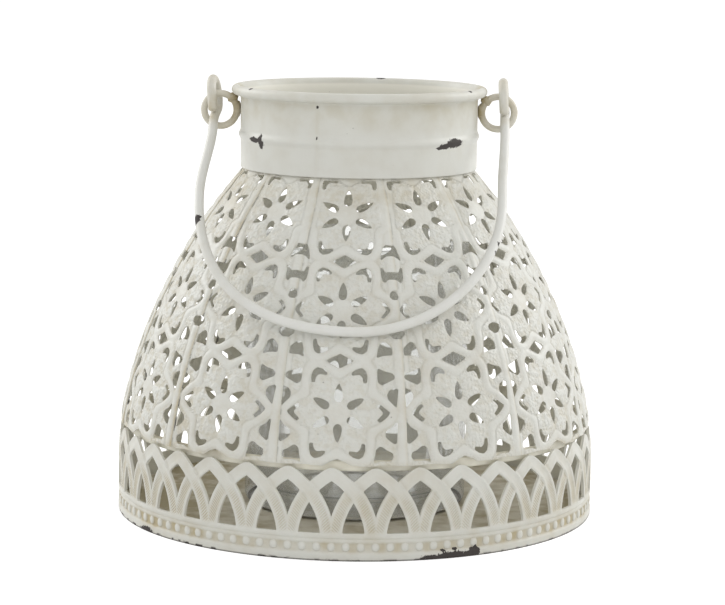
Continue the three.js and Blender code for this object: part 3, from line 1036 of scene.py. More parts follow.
@dataclass
class PanelSet:
    """The twelve pierced and embossed panels of the dome.

    Its rules take x, the distance across from a panel's middle, and s, the level.
    """

    profile: DomeProfile
    count: int = 12
    first_angle: float = -4.0
    bottom: float = 39.4
    sheet: float = 0.7
    lap_gap: float = 0.12
    lap_width: float = 1.8
    least_overlap: float = 0.1
    lap_end: float = 152.0
    seam_shift: float = 0.6
    first_rosette: float = 61.0
    rosettes: int = 3
    pitch: float = 42.9
    petals: int = 6
    petal_reach: Point = (4.4, 6.5, 12.4)
    petal_half_width: float = 1.8
    ring_radius: float = 19.4
    ring_wave: float = 3.1
    ring_band: Corner = (2.1, 1.0)
    ring_rise: float = 0.34
    border_band: Corner = (3.7, 2.9)
    border_rise: float = 0.26
    lobe_rise: float = 0.38
    edge_rounding: float = 0.16
    foot_wave: float = 0.2
    notch_rounding: float = 0.3
    plain_neck: float = 0.6
    no_hole: float = 4.0
    beyond_seam: float = 30.0
    grid_margin: float = 0.035
    column_step: float = 0.75
    row_step: float = 0.75

    def __post_init__(self) -> None:
        """Works out the angles of a panel's edges, in radians."""
        self.half = math.pi / self.count
        self.shift = math.radians(self.seam_shift)
        self.lap_shift = (self.sheet + self.lap_gap) / 2

    def lapped(self, level: np.ndarray) -> np.ndarray:
        """Share of the full lap at a level, which closes towards the neck."""
        neck = self.profile.neck_level
        return np.clip((neck - level) / (neck - self.lap_end), 0, 1)

    def overlap(self, level: np.ndarray) -> np.ndarray:
        """Width of the lap at a level."""
        return np.maximum(self.lap_width * self.lapped(level), self.least_overlap)

    def edges(self, level: np.ndarray) -> tuple[np.ndarray, np.ndarray]:
        """Angles of a panel's left and right edges at a level, in radians."""
        spread = self.overlap(level) / 2 / self.profile.radius(level)
        return self.shift - self.half - spread, self.shift + self.half + spread

    def lift(self, angle: np.ndarray, level: np.ndarray) -> np.ndarray:
        """Outward shift that lays each right edge over the next panel's left edge."""
        return self.lap_shift * self.lapped(level) * (angle - self.shift) / self.half

    def holes(self) -> list[Hole]:
        """The pattern's holes with straight sides.

        Returns:
            The holes from the foot up.
        """
        first, middle, last = (self.first_rosette + i * self.pitch for i in range(3))
        lower, upper = first + self.pitch / 2, middle + self.pitch / 2
        far = self.beyond_seam
        hook = [(10.0, 12.2), (11.5, 12.4), (11.6, 15.0), (10.9, 17.5), (9.2, 18.7), (6.7, 18.1)]
        hook += [(4.9, 16.7), (4.9, 15.4), (8.3, 15.8), (9.5, 14.7)]
        foot_vase = [(14.9, 1.0), (17.8, 2.0), (22.2, 2.0), (23.3, 3.6), (22.9, 5.5), (21.0, 6.2)]
        foot_vase += [(18.6, 7.9), (17.3, 8.1), (16.0, 6.9), (15.6, 4.5)]
        low_slot = [(19.5, -9.4), (21.0, -11.0), (23.4, -12.6), (24.6, -12.5), (24.7, -4.2)]
        low_slot += [(24.0, -3.4), (22.6, -5.6), (19.9, -7.3)]
        low_bow = [(15.8, 2.6), (16.9, 1.9), (18.3, 0.4), (18.3, -0.4), (16.9, -1.9), (15.8, -2.9)]
        low_bow += [(17.2, -3.9), (19.3, -2.5), (21.3, -0.6), (21.3, 0.4), (19.3, 2.0), (17.0, 3.7)]
        high_slot = [(20.2, 5.7), (22.0, 3.8), (24.0, 1.7), (24.4, 9.8), (23.0, 10.4)]
        high_slot += [(20.7, 9.4), (19.8, 7.6)]
        low_vase = [(15.4, -2.7), (15.5, -5.5), (15.8, -8.8), (17.6, -10.0), (19.9, -8.9)]
        low_vase += [(22.5, -7.6), (22.9, -6.3), (21.6, -4.9), (18.6, -4.2)]
        high_vase = [(14.9, 1.2), (17.4, 2.2), (21.6, 2.4), (21.3, 5.4), (19.6, 7.0)]
        high_vase += [(17.9, 8.2), (16.2, 7.6), (15.4, 5.0)]
        fan = [(19.5, -10.3), (22.0, -12.4), (far, -12.1), (far, -7.4), (22.0, -7.7), (19.6, -8.5)]
        middle_bow = [(15.9, 2.5), (16.9, 1.9), (18.0, 0.5), (18.0, -0.5), (16.9, -1.9)]
        middle_bow += [(15.9, -2.7), (17.0, -3.7), (18.6, -2.3), (19.9, -0.5), (19.9, 0.5)]
        middle_bow += [(18.6, 2.2), (17.0, 3.6)]
        lozenge = [(19.3, 5.5), (20.6, 4.3), (far, 4.3), (far, 8.3), (20.4, 8.5), (19.4, 7.5)]
        low_seam = [(15.9, -8.4), (17.2, -9.8), (18.2, -8.3), (far, -8.3), (far, -4.8)]
        low_seam += [(17.0, -4.8), (15.9, -2.6), (14.9, -2.6), (15.3, -6.4)]
        high_seam = [(14.6, 0.6), (15.4, 0.8), (17.0, 2.2), (far, 2.4), (far, 6.2), (17.6, 7.3)]
        high_seam += [(16.2, 7.6), (15.3, 5.2)]
        low_rhombus, high_rhombus = (
            [(0.0, -3.1), (half, 0.0), (0.0, 3.1), (-half, 0.0)] for half in (6.0, 5.2)
        )
        at_levels = {
            self.bottom: (foot_vase,),
            first: (low_slot, low_bow, high_slot),
            lower: (low_rhombus, low_vase, high_vase),
            middle: (fan, middle_bow, lozenge),
            upper: (high_rhombus, low_seam, high_seam),
        }
        hooks = [Hole(level, hook, up_and_down=True) for level in (first, middle, last)]
        return hooks + [Hole(level, one) for level, some in at_levels.items() for one in some]

    def metal(self, x: np.ndarray, s: np.ndarray) -> np.ndarray:
        """Distance into the metal of a panel.

        Args:
            x: Places across.
            s: Their levels.

        Returns:
            The distance, negative in the holes and beyond the edges.
        """
        notch = [(-5.8, -1.0), (6.2, -1.0), (6.2, 0.0), (3.2, 1.7), (0.2, 2.9), (-2.8, 1.8)]
        holes = to_polygon(x, s - self.bottom, [*notch, (-5.8, 0.0)], self.notch_rounding)
        for hole in self.holes():
            holes = np.minimum(holes, hole.distance(x, s))
        for i in range(self.rosettes):
            y = s - self.first_rosette - i * self.pitch
            for k in range(self.petals):
                angle = (k + 0.5) * 360 / self.petals
                petal = to_petal(x, y, angle, self.petal_reach, self.petal_half_width)
                holes = np.minimum(holes, petal)
        at_neck = s > self.profile.neck_level - self.plain_neck
        holes = np.where(at_neck, np.maximum(holes, self.no_hole), holes)
        wave = self.foot_wave * (1 + np.sin(x * 0.35 + 0.6))
        ends = np.minimum(s - self.bottom - wave, self.profile.top - s)
        return np.minimum(np.minimum(holes, self.from_edges(x, s)), ends)

    def from_edges(self, x: np.ndarray, s: np.ndarray) -> np.ndarray:
        """Distance in from the nearer side edge of the panel.

        Args:
            x: Places across.
            s: Their levels.

        Returns:
            The distance, negative beyond the edge.
        """
        radius = self.profile.radius(s)
        left, right = self.edges(s)
        return np.minimum(x - left * radius, right * radius - x)

    def from_rosettes(self, x: np.ndarray, s: np.ndarray) -> tuple[np.ndarray, np.ndarray]:
        """Distance and angle from the nearest rosette's centre.

        Args:
            x: Places across.
            s: Their levels.

        Returns:
            The distances, and the angles in radians from the sheet's right.
        """
        nearest = np.round((s - self.first_rosette) / self.pitch).clip(0, self.rosettes - 1)
        y = s - self.first_rosette - nearest * self.pitch
        return np.hypot(x, y), np.arctan2(y, x)

    def rings(self, x: np.ndarray, s: np.ndarray) -> np.ndarray:
        """Distance from the middle of the scalloped bands round the rosettes."""
        away, angle = self.from_rosettes(x, s)
        return np.abs(away - self.ring_radius - self.ring_wave * np.cos(self.petals * angle))

    def lobes(self, x: np.ndarray, s: np.ndarray) -> np.ndarray:
        """How far a place is inside the cushions between the petals.

        Args:
            x: Places across.
            s: Their levels.

        Returns:
            Shares from 0 to 1.
        """
        away, angle = self.from_rosettes(x, s)
        swell = 0.5 + 0.5 * np.cos(self.petals * angle)
        return eased(away, 4.5, 9.0) * eased(away, 18.0, 12.0) * swell

    def relief(self, x: np.ndarray, s: np.ndarray) -> np.ndarray:
        """Height of the embossing over the plain sheet.

        Args:
            x: Places across.
            s: Their levels.

        Returns:
            The height, none at the foot, the side edges and the neck.
        """
        aside = self.from_edges(x, s)
        ring = self.ring_rise * eased(self.rings(x, s), *self.ring_band)
        border = self.border_rise * eased(aside, *self.border_band)
        raised = np.maximum(np.maximum(ring, border), self.lobe_rise * self.lobes(x, s))
        fade = eased(aside, 0.4, 1.8) * eased(s, self.lap_end + 3, self.lap_end - 2)
        return raised * fade * eased(s, self.bottom, self.bottom + 3)

    def edge_drop(self, x: np.ndarray, s: np.ndarray) -> np.ndarray:
        """How much the thick paint rounds the sheet down at its cut edges."""
        return self.edge_rounding * (1 - eased(self.metal(x, s), -0.1, 1.0))

    def wash(self, x: np.ndarray, s: np.ndarray) -> np.ndarray:
        """How much antique wash a place holds.

        Args:
            x: Places across.
            s: Their levels.

        Returns:
            Shares from 0 to 1.
        """
        beside_ring = eased(np.abs(self.rings(x, s) - 2.2), 0.9, 0.0)
        seam = eased(self.from_edges(x, s), 1.4, 0.0)
        collar = eased(s, self.lap_end - 18, self.lap_end + 8)
        ground = 1 - eased(self.relief(x, s), 0.0, 0.25)
        foot = eased(s, self.bottom + 3.5, self.bottom)
        wash = 0.05 * ground + 0.12 * beside_ring + 0.4 * seam + 0.2 * collar + 0.2 * foot
        return np.clip(wash, 0, 1)

    def wear_and_shadow(self, x: np.ndarray, s: np.ndarray) -> np.ndarray:
        """How dark the sheet is painted along the line where its neighbour's edge lies on it, partly
        wear and partly painted shadow of that edge.

        Args:
            x: Places across.
            s: Their levels.

        Returns:
            Shares from 0 to 0.8.
        """
        left, _ = self.edges(s)
        from_lap = np.abs(x - left * self.profile.radius(s) - self.overlap(s))
        return 0.8 * eased(from_lap, 0.8, 0.3) * eased(s, self.bottom, self.bottom + 8)

    def stipple(self, x: np.ndarray, s: np.ndarray) -> np.ndarray:
        """Where the ground is punched: in the cushions and outside the scalloped bands.

        Args:
            x: Places across.
            s: Their levels.

        Returns:
            Shares from 0 to 1.
        """
        away, _ = self.from_rosettes(x, s)
        ground = eased(self.rings(x, s), 2.0, 2.8) * eased(self.from_edges(x, s), 3.6, 4.6)
        return ground * eased(away, 4.0, 6.0)

    def pattern(self, x: np.ndarray, s: np.ndarray) -> np.ndarray:
        """Place on the flat pattern in metres."""
        return np.stack([x, s, 0 * s], 1) * MM

    def face(self, depth: float) -> Rule:
        """Bends one face of the sheet.

        Args:
            depth: Its depth under the outer face.

        Returns:
            A rule that places the face at an angle in radians and a level.
        """
        share = 1 if depth == 0 else -0.6

        def bend(angle: np.ndarray, level: np.ndarray) -> np.ndarray:
            """Places points of the face.

            Args:
                angle: Their angles in radians.
                level: Their levels.

            Returns:
                Points in the frame in millimetres.
            """
            x = angle * self.profile.radius(level)
            shaped = self.lift(angle, level) + self.relief(x, level)
            drop = self.edge_drop(x, level) * share
            return self.profile.place(angle, level, shaped - depth - drop)

        return bend

    def by_angle(self, rule: Rule) -> Rule:
        """A rule of the flat pattern, asked by the angle in radians and the level."""
        return lambda angle, level: rule(angle * self.profile.radius(level), level)

    def build(self) -> None:
        """Cuts one panel, bends it and makes the twelve."""
        profile = self.profile
        widest = (self.half + self.shift) * profile.foot_radius + 2 * self.lap_width
        left, right = -self.half - self.grid_margin, self.half + self.shift + self.grid_margin
        angles = np.linspace(left, right, math.ceil(2 * widest / self.column_step))
        rows = math.ceil((profile.top - self.bottom) / self.row_step)
        levels = np.linspace(self.bottom - 1, profile.top + 1, rows)
        grid_angle, grid_level = np.meshgrid(angles, levels, indexing="ij")
        grid_x = grid_angle * profile.radius(grid_level)
        sheet = CutSheet(angles, levels, self.metal(grid_x, grid_level))
        rules = {
            "wash": self.wash,
            "stipple": self.stipple,
            "wear_and_shadow": self.wear_and_shadow,
            "pattern": self.pattern,
        }
        numbers = {name: self.by_angle(rule) for name, rule in rules.items()}
        panel = sheet.solid(self.face(0), self.face(self.sheet), numbers)
        finish = StippledEnamel("panel_enamel").material()
        for i in range(self.count):
            node = f"panel_{i + 1:02d}"
            turned = panel.turned(self.first_angle + i * 360 / self.count)
            turned.make(f"{node}_sheet", finish, Body.LANTERN, Slot.CREAM, [node], 42)


@dataclass
class Gallery:
    """The arcaded strip round the foot, with its hem and its row of beads.

    Its rules take x, the distance round the foot from the first arch, and s, the level.
    """

    profile: DomeProfile
    arches: int = 36
    first_angle: float = -5.0
    sheet: float = 1.4
    arch_top: float = 38.6
    arch_valley: float = 32.8
    arch_slope: float = 0.835
    arc_aside: float = 15.8
    arc_level: float = 8.0
    arc_inside: float = 29.8
    arc_outside: float = 35.65
    lancet_foot: float = 11.45
    kite_rounding: float = 0.16
    top_rounding: float = 0.9
    top_margin: float = 0.2
    square_to_top: float = 0.78
    lip: float = 2.9
    channel_top: float = 8.4
    channel_depth: float = 0.75
    groove: float = 8.95
    groove_depth: float = 0.45
    strap_depth: float = 0.36
    tuck_depth: float = 0.3
    edge_rounding: float = 0.2
    hem_width: float = 8.0
    hem_sheet: float = 1.2
    beads_per_arch: int = 3
    bead_level: float = 5.75
    bead_half_width: float = 1.8
    bead_half_height: float = 2.05
    bead_rise: float = 0.75
    bead_sink: float = 0.25
    bead_power: float = 2.3
    bead_rings: int = 5
    bead_sides: int = 14
    clearance: float = 0.02
    columns_per_arch: int = 26
    row_step: float = 0.64

    def __post_init__(self) -> None:
        """Works out the width of a bay."""
        self.bay = math.tau * self.profile.foot_radius / self.arches

    def from_apex(self, x: np.ndarray) -> np.ndarray:
        """Distance across to the right of the nearest arch's apex, negative to its left."""
        return (x + self.bay / 2) % self.bay - self.bay / 2

    def metal(self, x: np.ndarray, s: np.ndarray) -> np.ndarray:
        """Distance into the metal of the strip.

        Args:
            x: Places round the foot.
            s: Their levels.

        Returns:
            The distance, negative in the holes and beyond the edges.
        """
        across = np.abs(self.from_apex(x))
        near = np.hypot(across + self.arc_aside, s - self.arc_level)
        far = np.hypot(self.bay + self.arc_aside - across, s - self.arc_level)
        soft = self.kite_rounding
        kite = soft * np.logaddexp((near - self.arc_inside) / soft, (self.arc_outside - far) / soft)
        lancet = np.maximum(far - self.arc_inside, self.lancet_foot - s)
        arch = self.arch_valley + (self.bay / 2 - across) * self.arch_slope
        soft = self.top_rounding
        highest = self.arch_top + self.top_margin
        outline = -soft * np.logaddexp(-arch / soft, -highest / soft)
        return np.minimum.reduce([kite, lancet, (outline - s) * self.square_to_top, s])

    def from_falling(self, x: np.ndarray, s: np.ndarray) -> np.ndarray:
        """Distance from the middle of the strap that falls to the right.

        Args:
            x: Places round the foot.
            s: Their levels.

        Returns:
            The distances.
        """
        right = self.from_apex(x)
        aside, up = right + self.arc_aside, s - self.arc_level
        middle = (self.arc_inside + self.arc_outside) / 2
        upper = np.where(right > -0.01, np.abs(np.hypot(aside, up) - middle), self.bay)
        lower = np.where(right < 0.01, np.abs(np.hypot(aside + self.bay, up) - middle), self.bay)
        return np.minimum(upper, lower)

    def strap_sink(self, x: np.ndarray, s: np.ndarray) -> np.ndarray:
        """How far a place is in the sunk middle of a strap.

        Args:
            x: Places round the foot.
            s: Their levels.

        Returns:
            Shares from 0 to 1.
        """
        over, under = self.from_falling(x, s), self.from_falling(-x, s)
        shown = eased(over, 2.5, 3.1)
        straps = np.maximum(eased(over, 2.0, 1.25), eased(under, 2.0, 1.25) * shown)
        foot = eased(self.metal(x, s), 0.95, 1.7) * eased(s, 21.0, 18.5)
        return np.maximum(straps, foot) * eased(s, 11.2, 12.6)

    def tucked(self, x: np.ndarray, s: np.ndarray) -> np.ndarray:
        """Where a rising strap dips to pass under a falling one."""
        over, under = self.from_falling(x, s), self.from_falling(-x, s)
        return eased(over, 4.4, 3.2) * eased(over, 2.6, 3.1) * eased(under, 3.2, 2.7)

    def hatch(self, x: np.ndarray, s: np.ndarray) -> np.ndarray:
        """Where the straps are hatched: in their sunk middles, below the crossings."""
        return self.strap_sink(x, s) * eased(s, 30.0, 22.0)

    def slant(self, x: np.ndarray, s: np.ndarray) -> np.ndarray:
        """Distance along which the hatching repeats, mirrored at each apex."""
        return s + np.abs(self.from_apex(x))

    def channel(self, s: np.ndarray) -> np.ndarray:
        """Share of the bead channel's depth at a level."""
        top = eased(s, self.channel_top, self.channel_top - 1.5)
        return eased(s, self.lip, self.lip + 1.0) * top

    def relief(self, x: np.ndarray, s: np.ndarray) -> np.ndarray:
        """Height of the outer face over the plain strip.

        Args:
            x: Places round the foot.
            s: Their levels.

        Returns:
            The height, which is never above 0.
        """
        groove = self.groove_depth * eased(np.abs(s - self.groove), 1.0, 0.1)
        sunk = self.strap_depth * self.strap_sink(x, s) + self.tuck_depth * self.tucked(x, s)
        sunk = sunk + self.channel_depth * self.channel(s)
        edge = self.edge_rounding * (1 - eased(self.metal(x, s), -0.1, 0.8))
        return -(groove + sunk + edge)

    def wash(self, x: np.ndarray, s: np.ndarray) -> np.ndarray:
        """How much antique wash a place holds.

        Args:
            x: Places round the foot.
            s: Their levels.

        Returns:
            Shares from 0 to 1.
        """
        between = 0.5 - 0.5 * np.cos(math.tau * self.beads_per_arch * x / self.bay)
        channel = self.channel(s) * (0.28 + 0.34 * between)
        groove = eased(np.abs(s - self.groove), 0.9, 0.1)
        strap = 0.04 * self.strap_sink(x, s) + 0.06 * self.hatch(x, s) + 0.14 * self.tucked(x, s)
        return np.clip(np.maximum(channel, strap) + 0.12 * groove + 0.08, 0, 1)

    def wear_and_shadow(self, x: np.ndarray, s: np.ndarray) -> np.ndarray:
        """How dark the strip's lowest edge is painted, partly wear and partly painted contact
        shadow.
        """
        return 1.5 * eased(s, 1.0, 0.5)

    def bead(self, angle: float) -> tuple[list[Point], list[float]]:
        """Points of one bead, a low cushion, ring by ring from its top.

        Args:
            angle: Its place in radians from the front.

        Returns:
            The points, and the wash that each holds.
        """
        foot, power = self.profile.foot_radius, self.bead_power
        floor = foot - self.channel_depth - self.bead_sink
        points, washes = [], []
        for ring in range(self.bead_rings + 1):
            share = math.sin(math.pi / 2 * ring / self.bead_rings)
            rise = (self.bead_rise + self.bead_sink) * (1 - share**power) ** (1 / power)
            radius = min(floor + rise, foot - self.clearance)
            for k in range(self.bead_sides if ring else 1):
                right, up = (part(math.tau * k / self.bead_sides) for part in (math.cos, math.sin))
                reach = share * (abs(right) ** power + abs(up) ** power) ** (-1 / power)
                place = angle + self.bead_half_width * reach * right / foot
                height = self.bead_level + self.bead_half_height * reach * up
                points.append((radius * math.sin(place), -radius * math.cos(place), height))
                washes.append(0.5 * share**6)
        return points, washes

    def bead_faces(self) -> list[list[int]]:
        """Faces of one bead, by the numbers of its own points.

        Returns:
            The faces, with the flat one that lies in the channel last.
        """
        sides, faces = self.bead_sides, []
        rim = 1 + (self.bead_rings - 1) * sides
        for k in range(sides):
            after = (k + 1) % sides
            faces.append([0, 1 + k, 1 + after])
            for low in range(1, rim, sides):
                faces.append([low + k, low + sides + k, low + sides + after, low + after])
        return [*faces, [rim + k for k in reversed(range(sides))]]

    def beads(self) -> Solid:
        """The row of beads in the channel.

        Returns:
            All the beads as one solid.
        """
        total = self.arches * self.beads_per_arch
        points, faces, washes = [], [], []
        for i in range(total):
            faces += [[len(points) + corner for corner in face] for face in self.bead_faces()]
            places, held = self.bead(math.radians(self.first_angle + i * 360 / total))
            points += places
            washes += held
        return Solid(np.array(points), faces, {"wash": np.array(washes)})

    def hem(self) -> Solid:
        """The hem turned in under the floor plate.

        Returns:
            The solid, which reaches a little into the strip.
        """
        outer = self.profile.foot_radius - self.sheet + 0.2
        inner = self.profile.foot_radius - self.hem_width
        half = self.hem_sheet / 2
        outline = [(outer, 0.0), (outer, self.hem_sheet), (inner + half, self.hem_sheet)]
        outline += arc((inner + half, half), half, 90, 270)[1:]
        solid = turned_solid(list(reversed(outline)))
        solid.numbers["wash"] = np.full(len(solid.points), 0.5)
        return solid

    def face(self, depth: float) -> Rule:
        """Bends one face of the strip.

        Args:
            depth: Its depth under the outer face.

        Returns:
            A rule that places the face at a distance round the foot and a level.
        """
        turn = math.radians(self.first_angle)

        def bend(x: np.ndarray, level: np.ndarray) -> np.ndarray:
            """Place of the face."""
            outward = self.relief(x, level) if depth == 0 else np.full(x.shape, -depth)
            return self.profile.place(x / self.profile.foot_radius + turn, level, outward)

        return bend

    def build(self) -> None:
        """Cuts the strip, bends it and adds the hem and the beads."""
        columns = self.arches * self.columns_per_arch
        across = np.arange(columns) * (self.bay * self.arches / columns)
        levels = np.linspace(-self.row_step, self.arch_top + 1, math.ceil(40 / self.row_step))
        grid_x, grid_s = np.meshgrid(across, levels, indexing="ij")
        sheet = CutSheet(across, levels, self.metal(grid_x, grid_s), round=True)
        numbers = {
            "wash": self.wash,
            "wear_and_shadow": self.wear_and_shadow,
            "hatch": self.hatch,
            "slant": self.slant,
        }
        band = sheet.solid(self.face(0), self.face(self.sheet), numbers)
        spots = (
            (23.2, 0.5, (9.5, 9.5, 2.6)),
            (18.0, 0.3, (6.0, 6.0, 1.9)),
            (28.4, 1.7, (2.8, 2.8, 2.6)),
            (20.6, 3.6, (1.3, 1.3, 0.8)),
            (23.4, 3.9, (1.5, 1.5, 0.8)),
            (-57.0, 0.4, (5.5, 5.5, 1.9)),
        )
        foot = self.profile.foot_radius
        chips = tuple(Chip(on_round(foot, angle, height), reach) for angle, height, reach in spots)
        finish = HatchedEnamel("gallery_enamel", chips=chips, wash_strength=1.15).material()
        whole = band.joined(self.hem())
        whole.make("gallery_strip", finish, Body.LANTERN, Slot.CREAM, ["gallery_band"], 40)
        self.beads().make("gallery_beads", finish, Body.LANTERN, Slot.CREAM)


@dataclass
class Collar:
    """The rolled collar with its swage, wired rim and lap seam."""

    bore: float = 51.1
    radius: float = 51.8
    bottom: float = 151.3
    bevel: float = 0.2
    rim_top: float = 187.0
    rim_radius: float = 55.8
    rim_height: float = 5.6
    lip: float = 2.1
    swage: float = 165.6
    swage_half: float = 2.6
    swage_rise: float = 0.8
    bore_swage_rise: float = 0.55
    swage_steps: int = 10
    seam_angle: float = -19.6
    seam_step: float = 0.32
    seam_fade: float = 34.0
    segments: int = 360

    def swaged(self, radius: float, rise: float) -> list[Corner]:
        """Section of the swage on one face of the sheet.

        Args:
            radius: Radius of the plain face.
            rise: How far the swage stands out of it.

        Returns:
            The points from below upwards.
        """
        points = []
        for i in range(self.swage_steps + 1):
            share = i / self.swage_steps
            height = self.swage + self.swage_half * (2 * share - 1)
            points.append((radius + rise * math.sin(math.pi * share) ** 2, height))
        return points

    def outline(self) -> list[Corner]:
        """Section of the collar.

        Returns:
            Its points, from the bottom of the bore up the outside and down the bore.
        """
        points = [(self.bore, self.bottom + self.bevel), (self.bore + self.bevel, self.bottom)]
        points += [(self.radius - self.bevel, self.bottom), (self.radius, self.bottom + self.bevel)]
        points += self.swaged(self.radius, self.swage_rise)
        crest, under = self.rim_radius - self.lip, self.rim_top - self.rim_height
        points += [(self.radius, under), (self.radius + 0.7, self.rim_top - 2 * self.lip - 0.3)]
        points += arc((crest, self.rim_top - self.lip), self.lip, -80, 90, 16)
        funnel = crest - self.bore
        points += arc((crest, under), funnel, 90, 180, 12, self.rim_height / funnel)[1:]
        return points + self.swaged(self.bore, self.bore_swage_rise)[::-1]

    def build(self) -> None:
        """Turns the collar, lays its seam and marks where the wash and a painted shadow line under
        the rim lie.
        """
        solid = turned_solid(self.outline(), self.segments)
        points = solid.points
        radius = np.hypot(points[:, 0], points[:, 1])
        angle = np.degrees(np.arctan2(points[:, 0], -points[:, 1]))
        height = points[:, 2]
        past = (angle - self.seam_angle) % 360
        outside = (radius > self.radius - 0.05) & (height < self.rim_top - self.rim_height + 0.1)
        step = self.seam_step * eased(past, 0.0, 0.6) * eased(past, self.seam_fade, 2.0)
        grown = np.where(outside, (radius + step) / radius, 1.0)
        points[:, :2] *= grown[:, None]
        # Painted shadow line under the rolled rim, partly wash in the joint.
        under_rim = eased(np.abs(height - self.rim_top + self.rim_height), 1.5, 0.2)
        seam = eased(np.minimum(past, 360 - past), 0.9, 0.1) * eased(height, 187, 183)
        ears = eased(np.abs(np.abs(angle) - 90), 16.0, 2.0) * eased(height, 162, 172)
        swage = eased(np.abs(height - self.swage + self.swage_half), 1.6, 0.2)
        inside = np.where(radius < self.radius - 0.3, 0.2, 0.0)
        upper = eased(height, 166, 177)
        wash = 0.04 + 0.4 * under_rim + 0.22 * seam + 0.7 * ears + 0.12 * swage + inside
        solid.numbers["wash"] = np.clip(wash + 0.18 * upper, 0, 1)
        # The bore takes the lighter inner paint, as painted light.
        solid.numbers["inner"] = eased(radius, self.radius - 0.1, self.bore + 0.3)
        spots = (
            (self.radius, -53.4, 164.6, (2.2, 2.2, 3.3)),
            (self.radius, -58.5, 165.0, (4.4, 4.4, 1.2)),
            (self.radius, 51.0, 165.0, (5.6, 5.6, 2.2)),
            (self.radius, 45.0, 164.0, (3.6, 3.6, 1.3)),
            (self.radius, 41.6, 163.4, (2.0, 2.0, 0.8)),
            (53.4, 169.8, 187.2, (2.2, 1.6, 0.9)),
            (54.2, -58.0, 186.6, (1.2, 1.2, 0.7)),
            (54.2, 60.0, 186.6, (1.2, 1.2, 0.7)),
            (self.radius, -19.6, 180.8, (0.7, 0.7, 0.8)),
            (self.radius, -19.7, 167.4, (0.4, 0.4, 1.2)),
        )
        chips = tuple(Chip(on_round(*place), reach) for *place, reach in spots)
        # Wash colour, which also paints the shadow line under the rim.
        stain_and_shade = paint_colour(188, 182, 161)
        finish = Enamel("collar_enamel", wash=stain_and_shade, chips=chips, cloud_strength=0.05).material()
        solid.make("collar_rolled", finish, Body.LANTERN, Slot.CREAM, ["collar"])


@dataclass
class EarRings:
    """The two wire rings at the collar's sides, with the welds that hold each."""

    mean_radius: float = 7.1
    wire_radius: float = 1.5
    steps: int = 72
    sides: int = 18
    weld_rows: int = 8
    weld_sides: int = 14
    weld_lumps: float = 0.09

    def weld(self, centre: Vector, reach: Sequence[float], tilt: float) -> Solid:
        """A lump of weld as an uneven ellipsoid.

        Args:
            centre: Its middle in millimetres.
            reach: Its half sizes.
            tilt: Its turn about Y.

        Returns:
            The solid.
        """
        spin = np.array(Euler((0, math.radians(tilt), 0)).to_matrix())
        turns = [math.pi * i / self.weld_rows for i in range(self.weld_rows + 1)]
        outline = [(math.sin(turn), -math.cos(turn)) for turn in turns]
        ball = turned_solid(outline, self.weld_sides, closed=False)
        lumps = 1 + self.weld_lumps * np.sin(ball.points @ np.array([3.1, 2.3, 4.4]) * 1.7)
        ball.points = (ball.points * lumps[:, None] * np.array(reach)) @ spin.T + np.array(centre)
        ball.numbers["wash"] = np.full(len(ball.points), 1.0)
        return ball

    def build(self) -> None:
        """Makes both rings where the frame has them."""
        finish = Enamel(
            "ear_enamel",
            paint=paint_colour(214, 211, 200),
            shade=paint_colour(204, 198, 180),
            wash=paint_colour(170, 156, 122),
            freckles=False,
        ).material()
        turns = np.arange(self.steps) * (math.tau / self.steps)
        round_y = np.stack([np.cos(turns), np.zeros(self.steps), np.sin(turns)], 1)
        for node, hand in (("ear_ring_left", -1), ("ear_ring_right", 1)):
            low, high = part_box(node)
            centre = (low + high) / 2 / MM
            route = self.mean_radius * round_y + np.array((centre.x, 0.0, centre.z))
            ring = wire(route, self.wire_radius, self.sides, closed=True)
            inward = eased(hand * (centre.x - ring.points[:, 0]), -2.0, 8.0)
            ring.numbers["wash"] = 0.15 + 0.65 * inward
            welds = (
                (self.mean_radius + 0.7, 0.4, (1.3, 1.7, 3.4), 0),
                (5.4, 5.3, (2.6, 2.0, 2.1), hand * 38),
            )
            for aside, up, reach, tilt in welds:
                middle = Vector((centre.x - hand * aside, 0.0, centre.z + up))
                ring = ring.joined(self.weld(middle, reach, tilt))
            ring.make(f"{node}_wire", finish, Body.LANTERN, Slot.WASHED, [node])


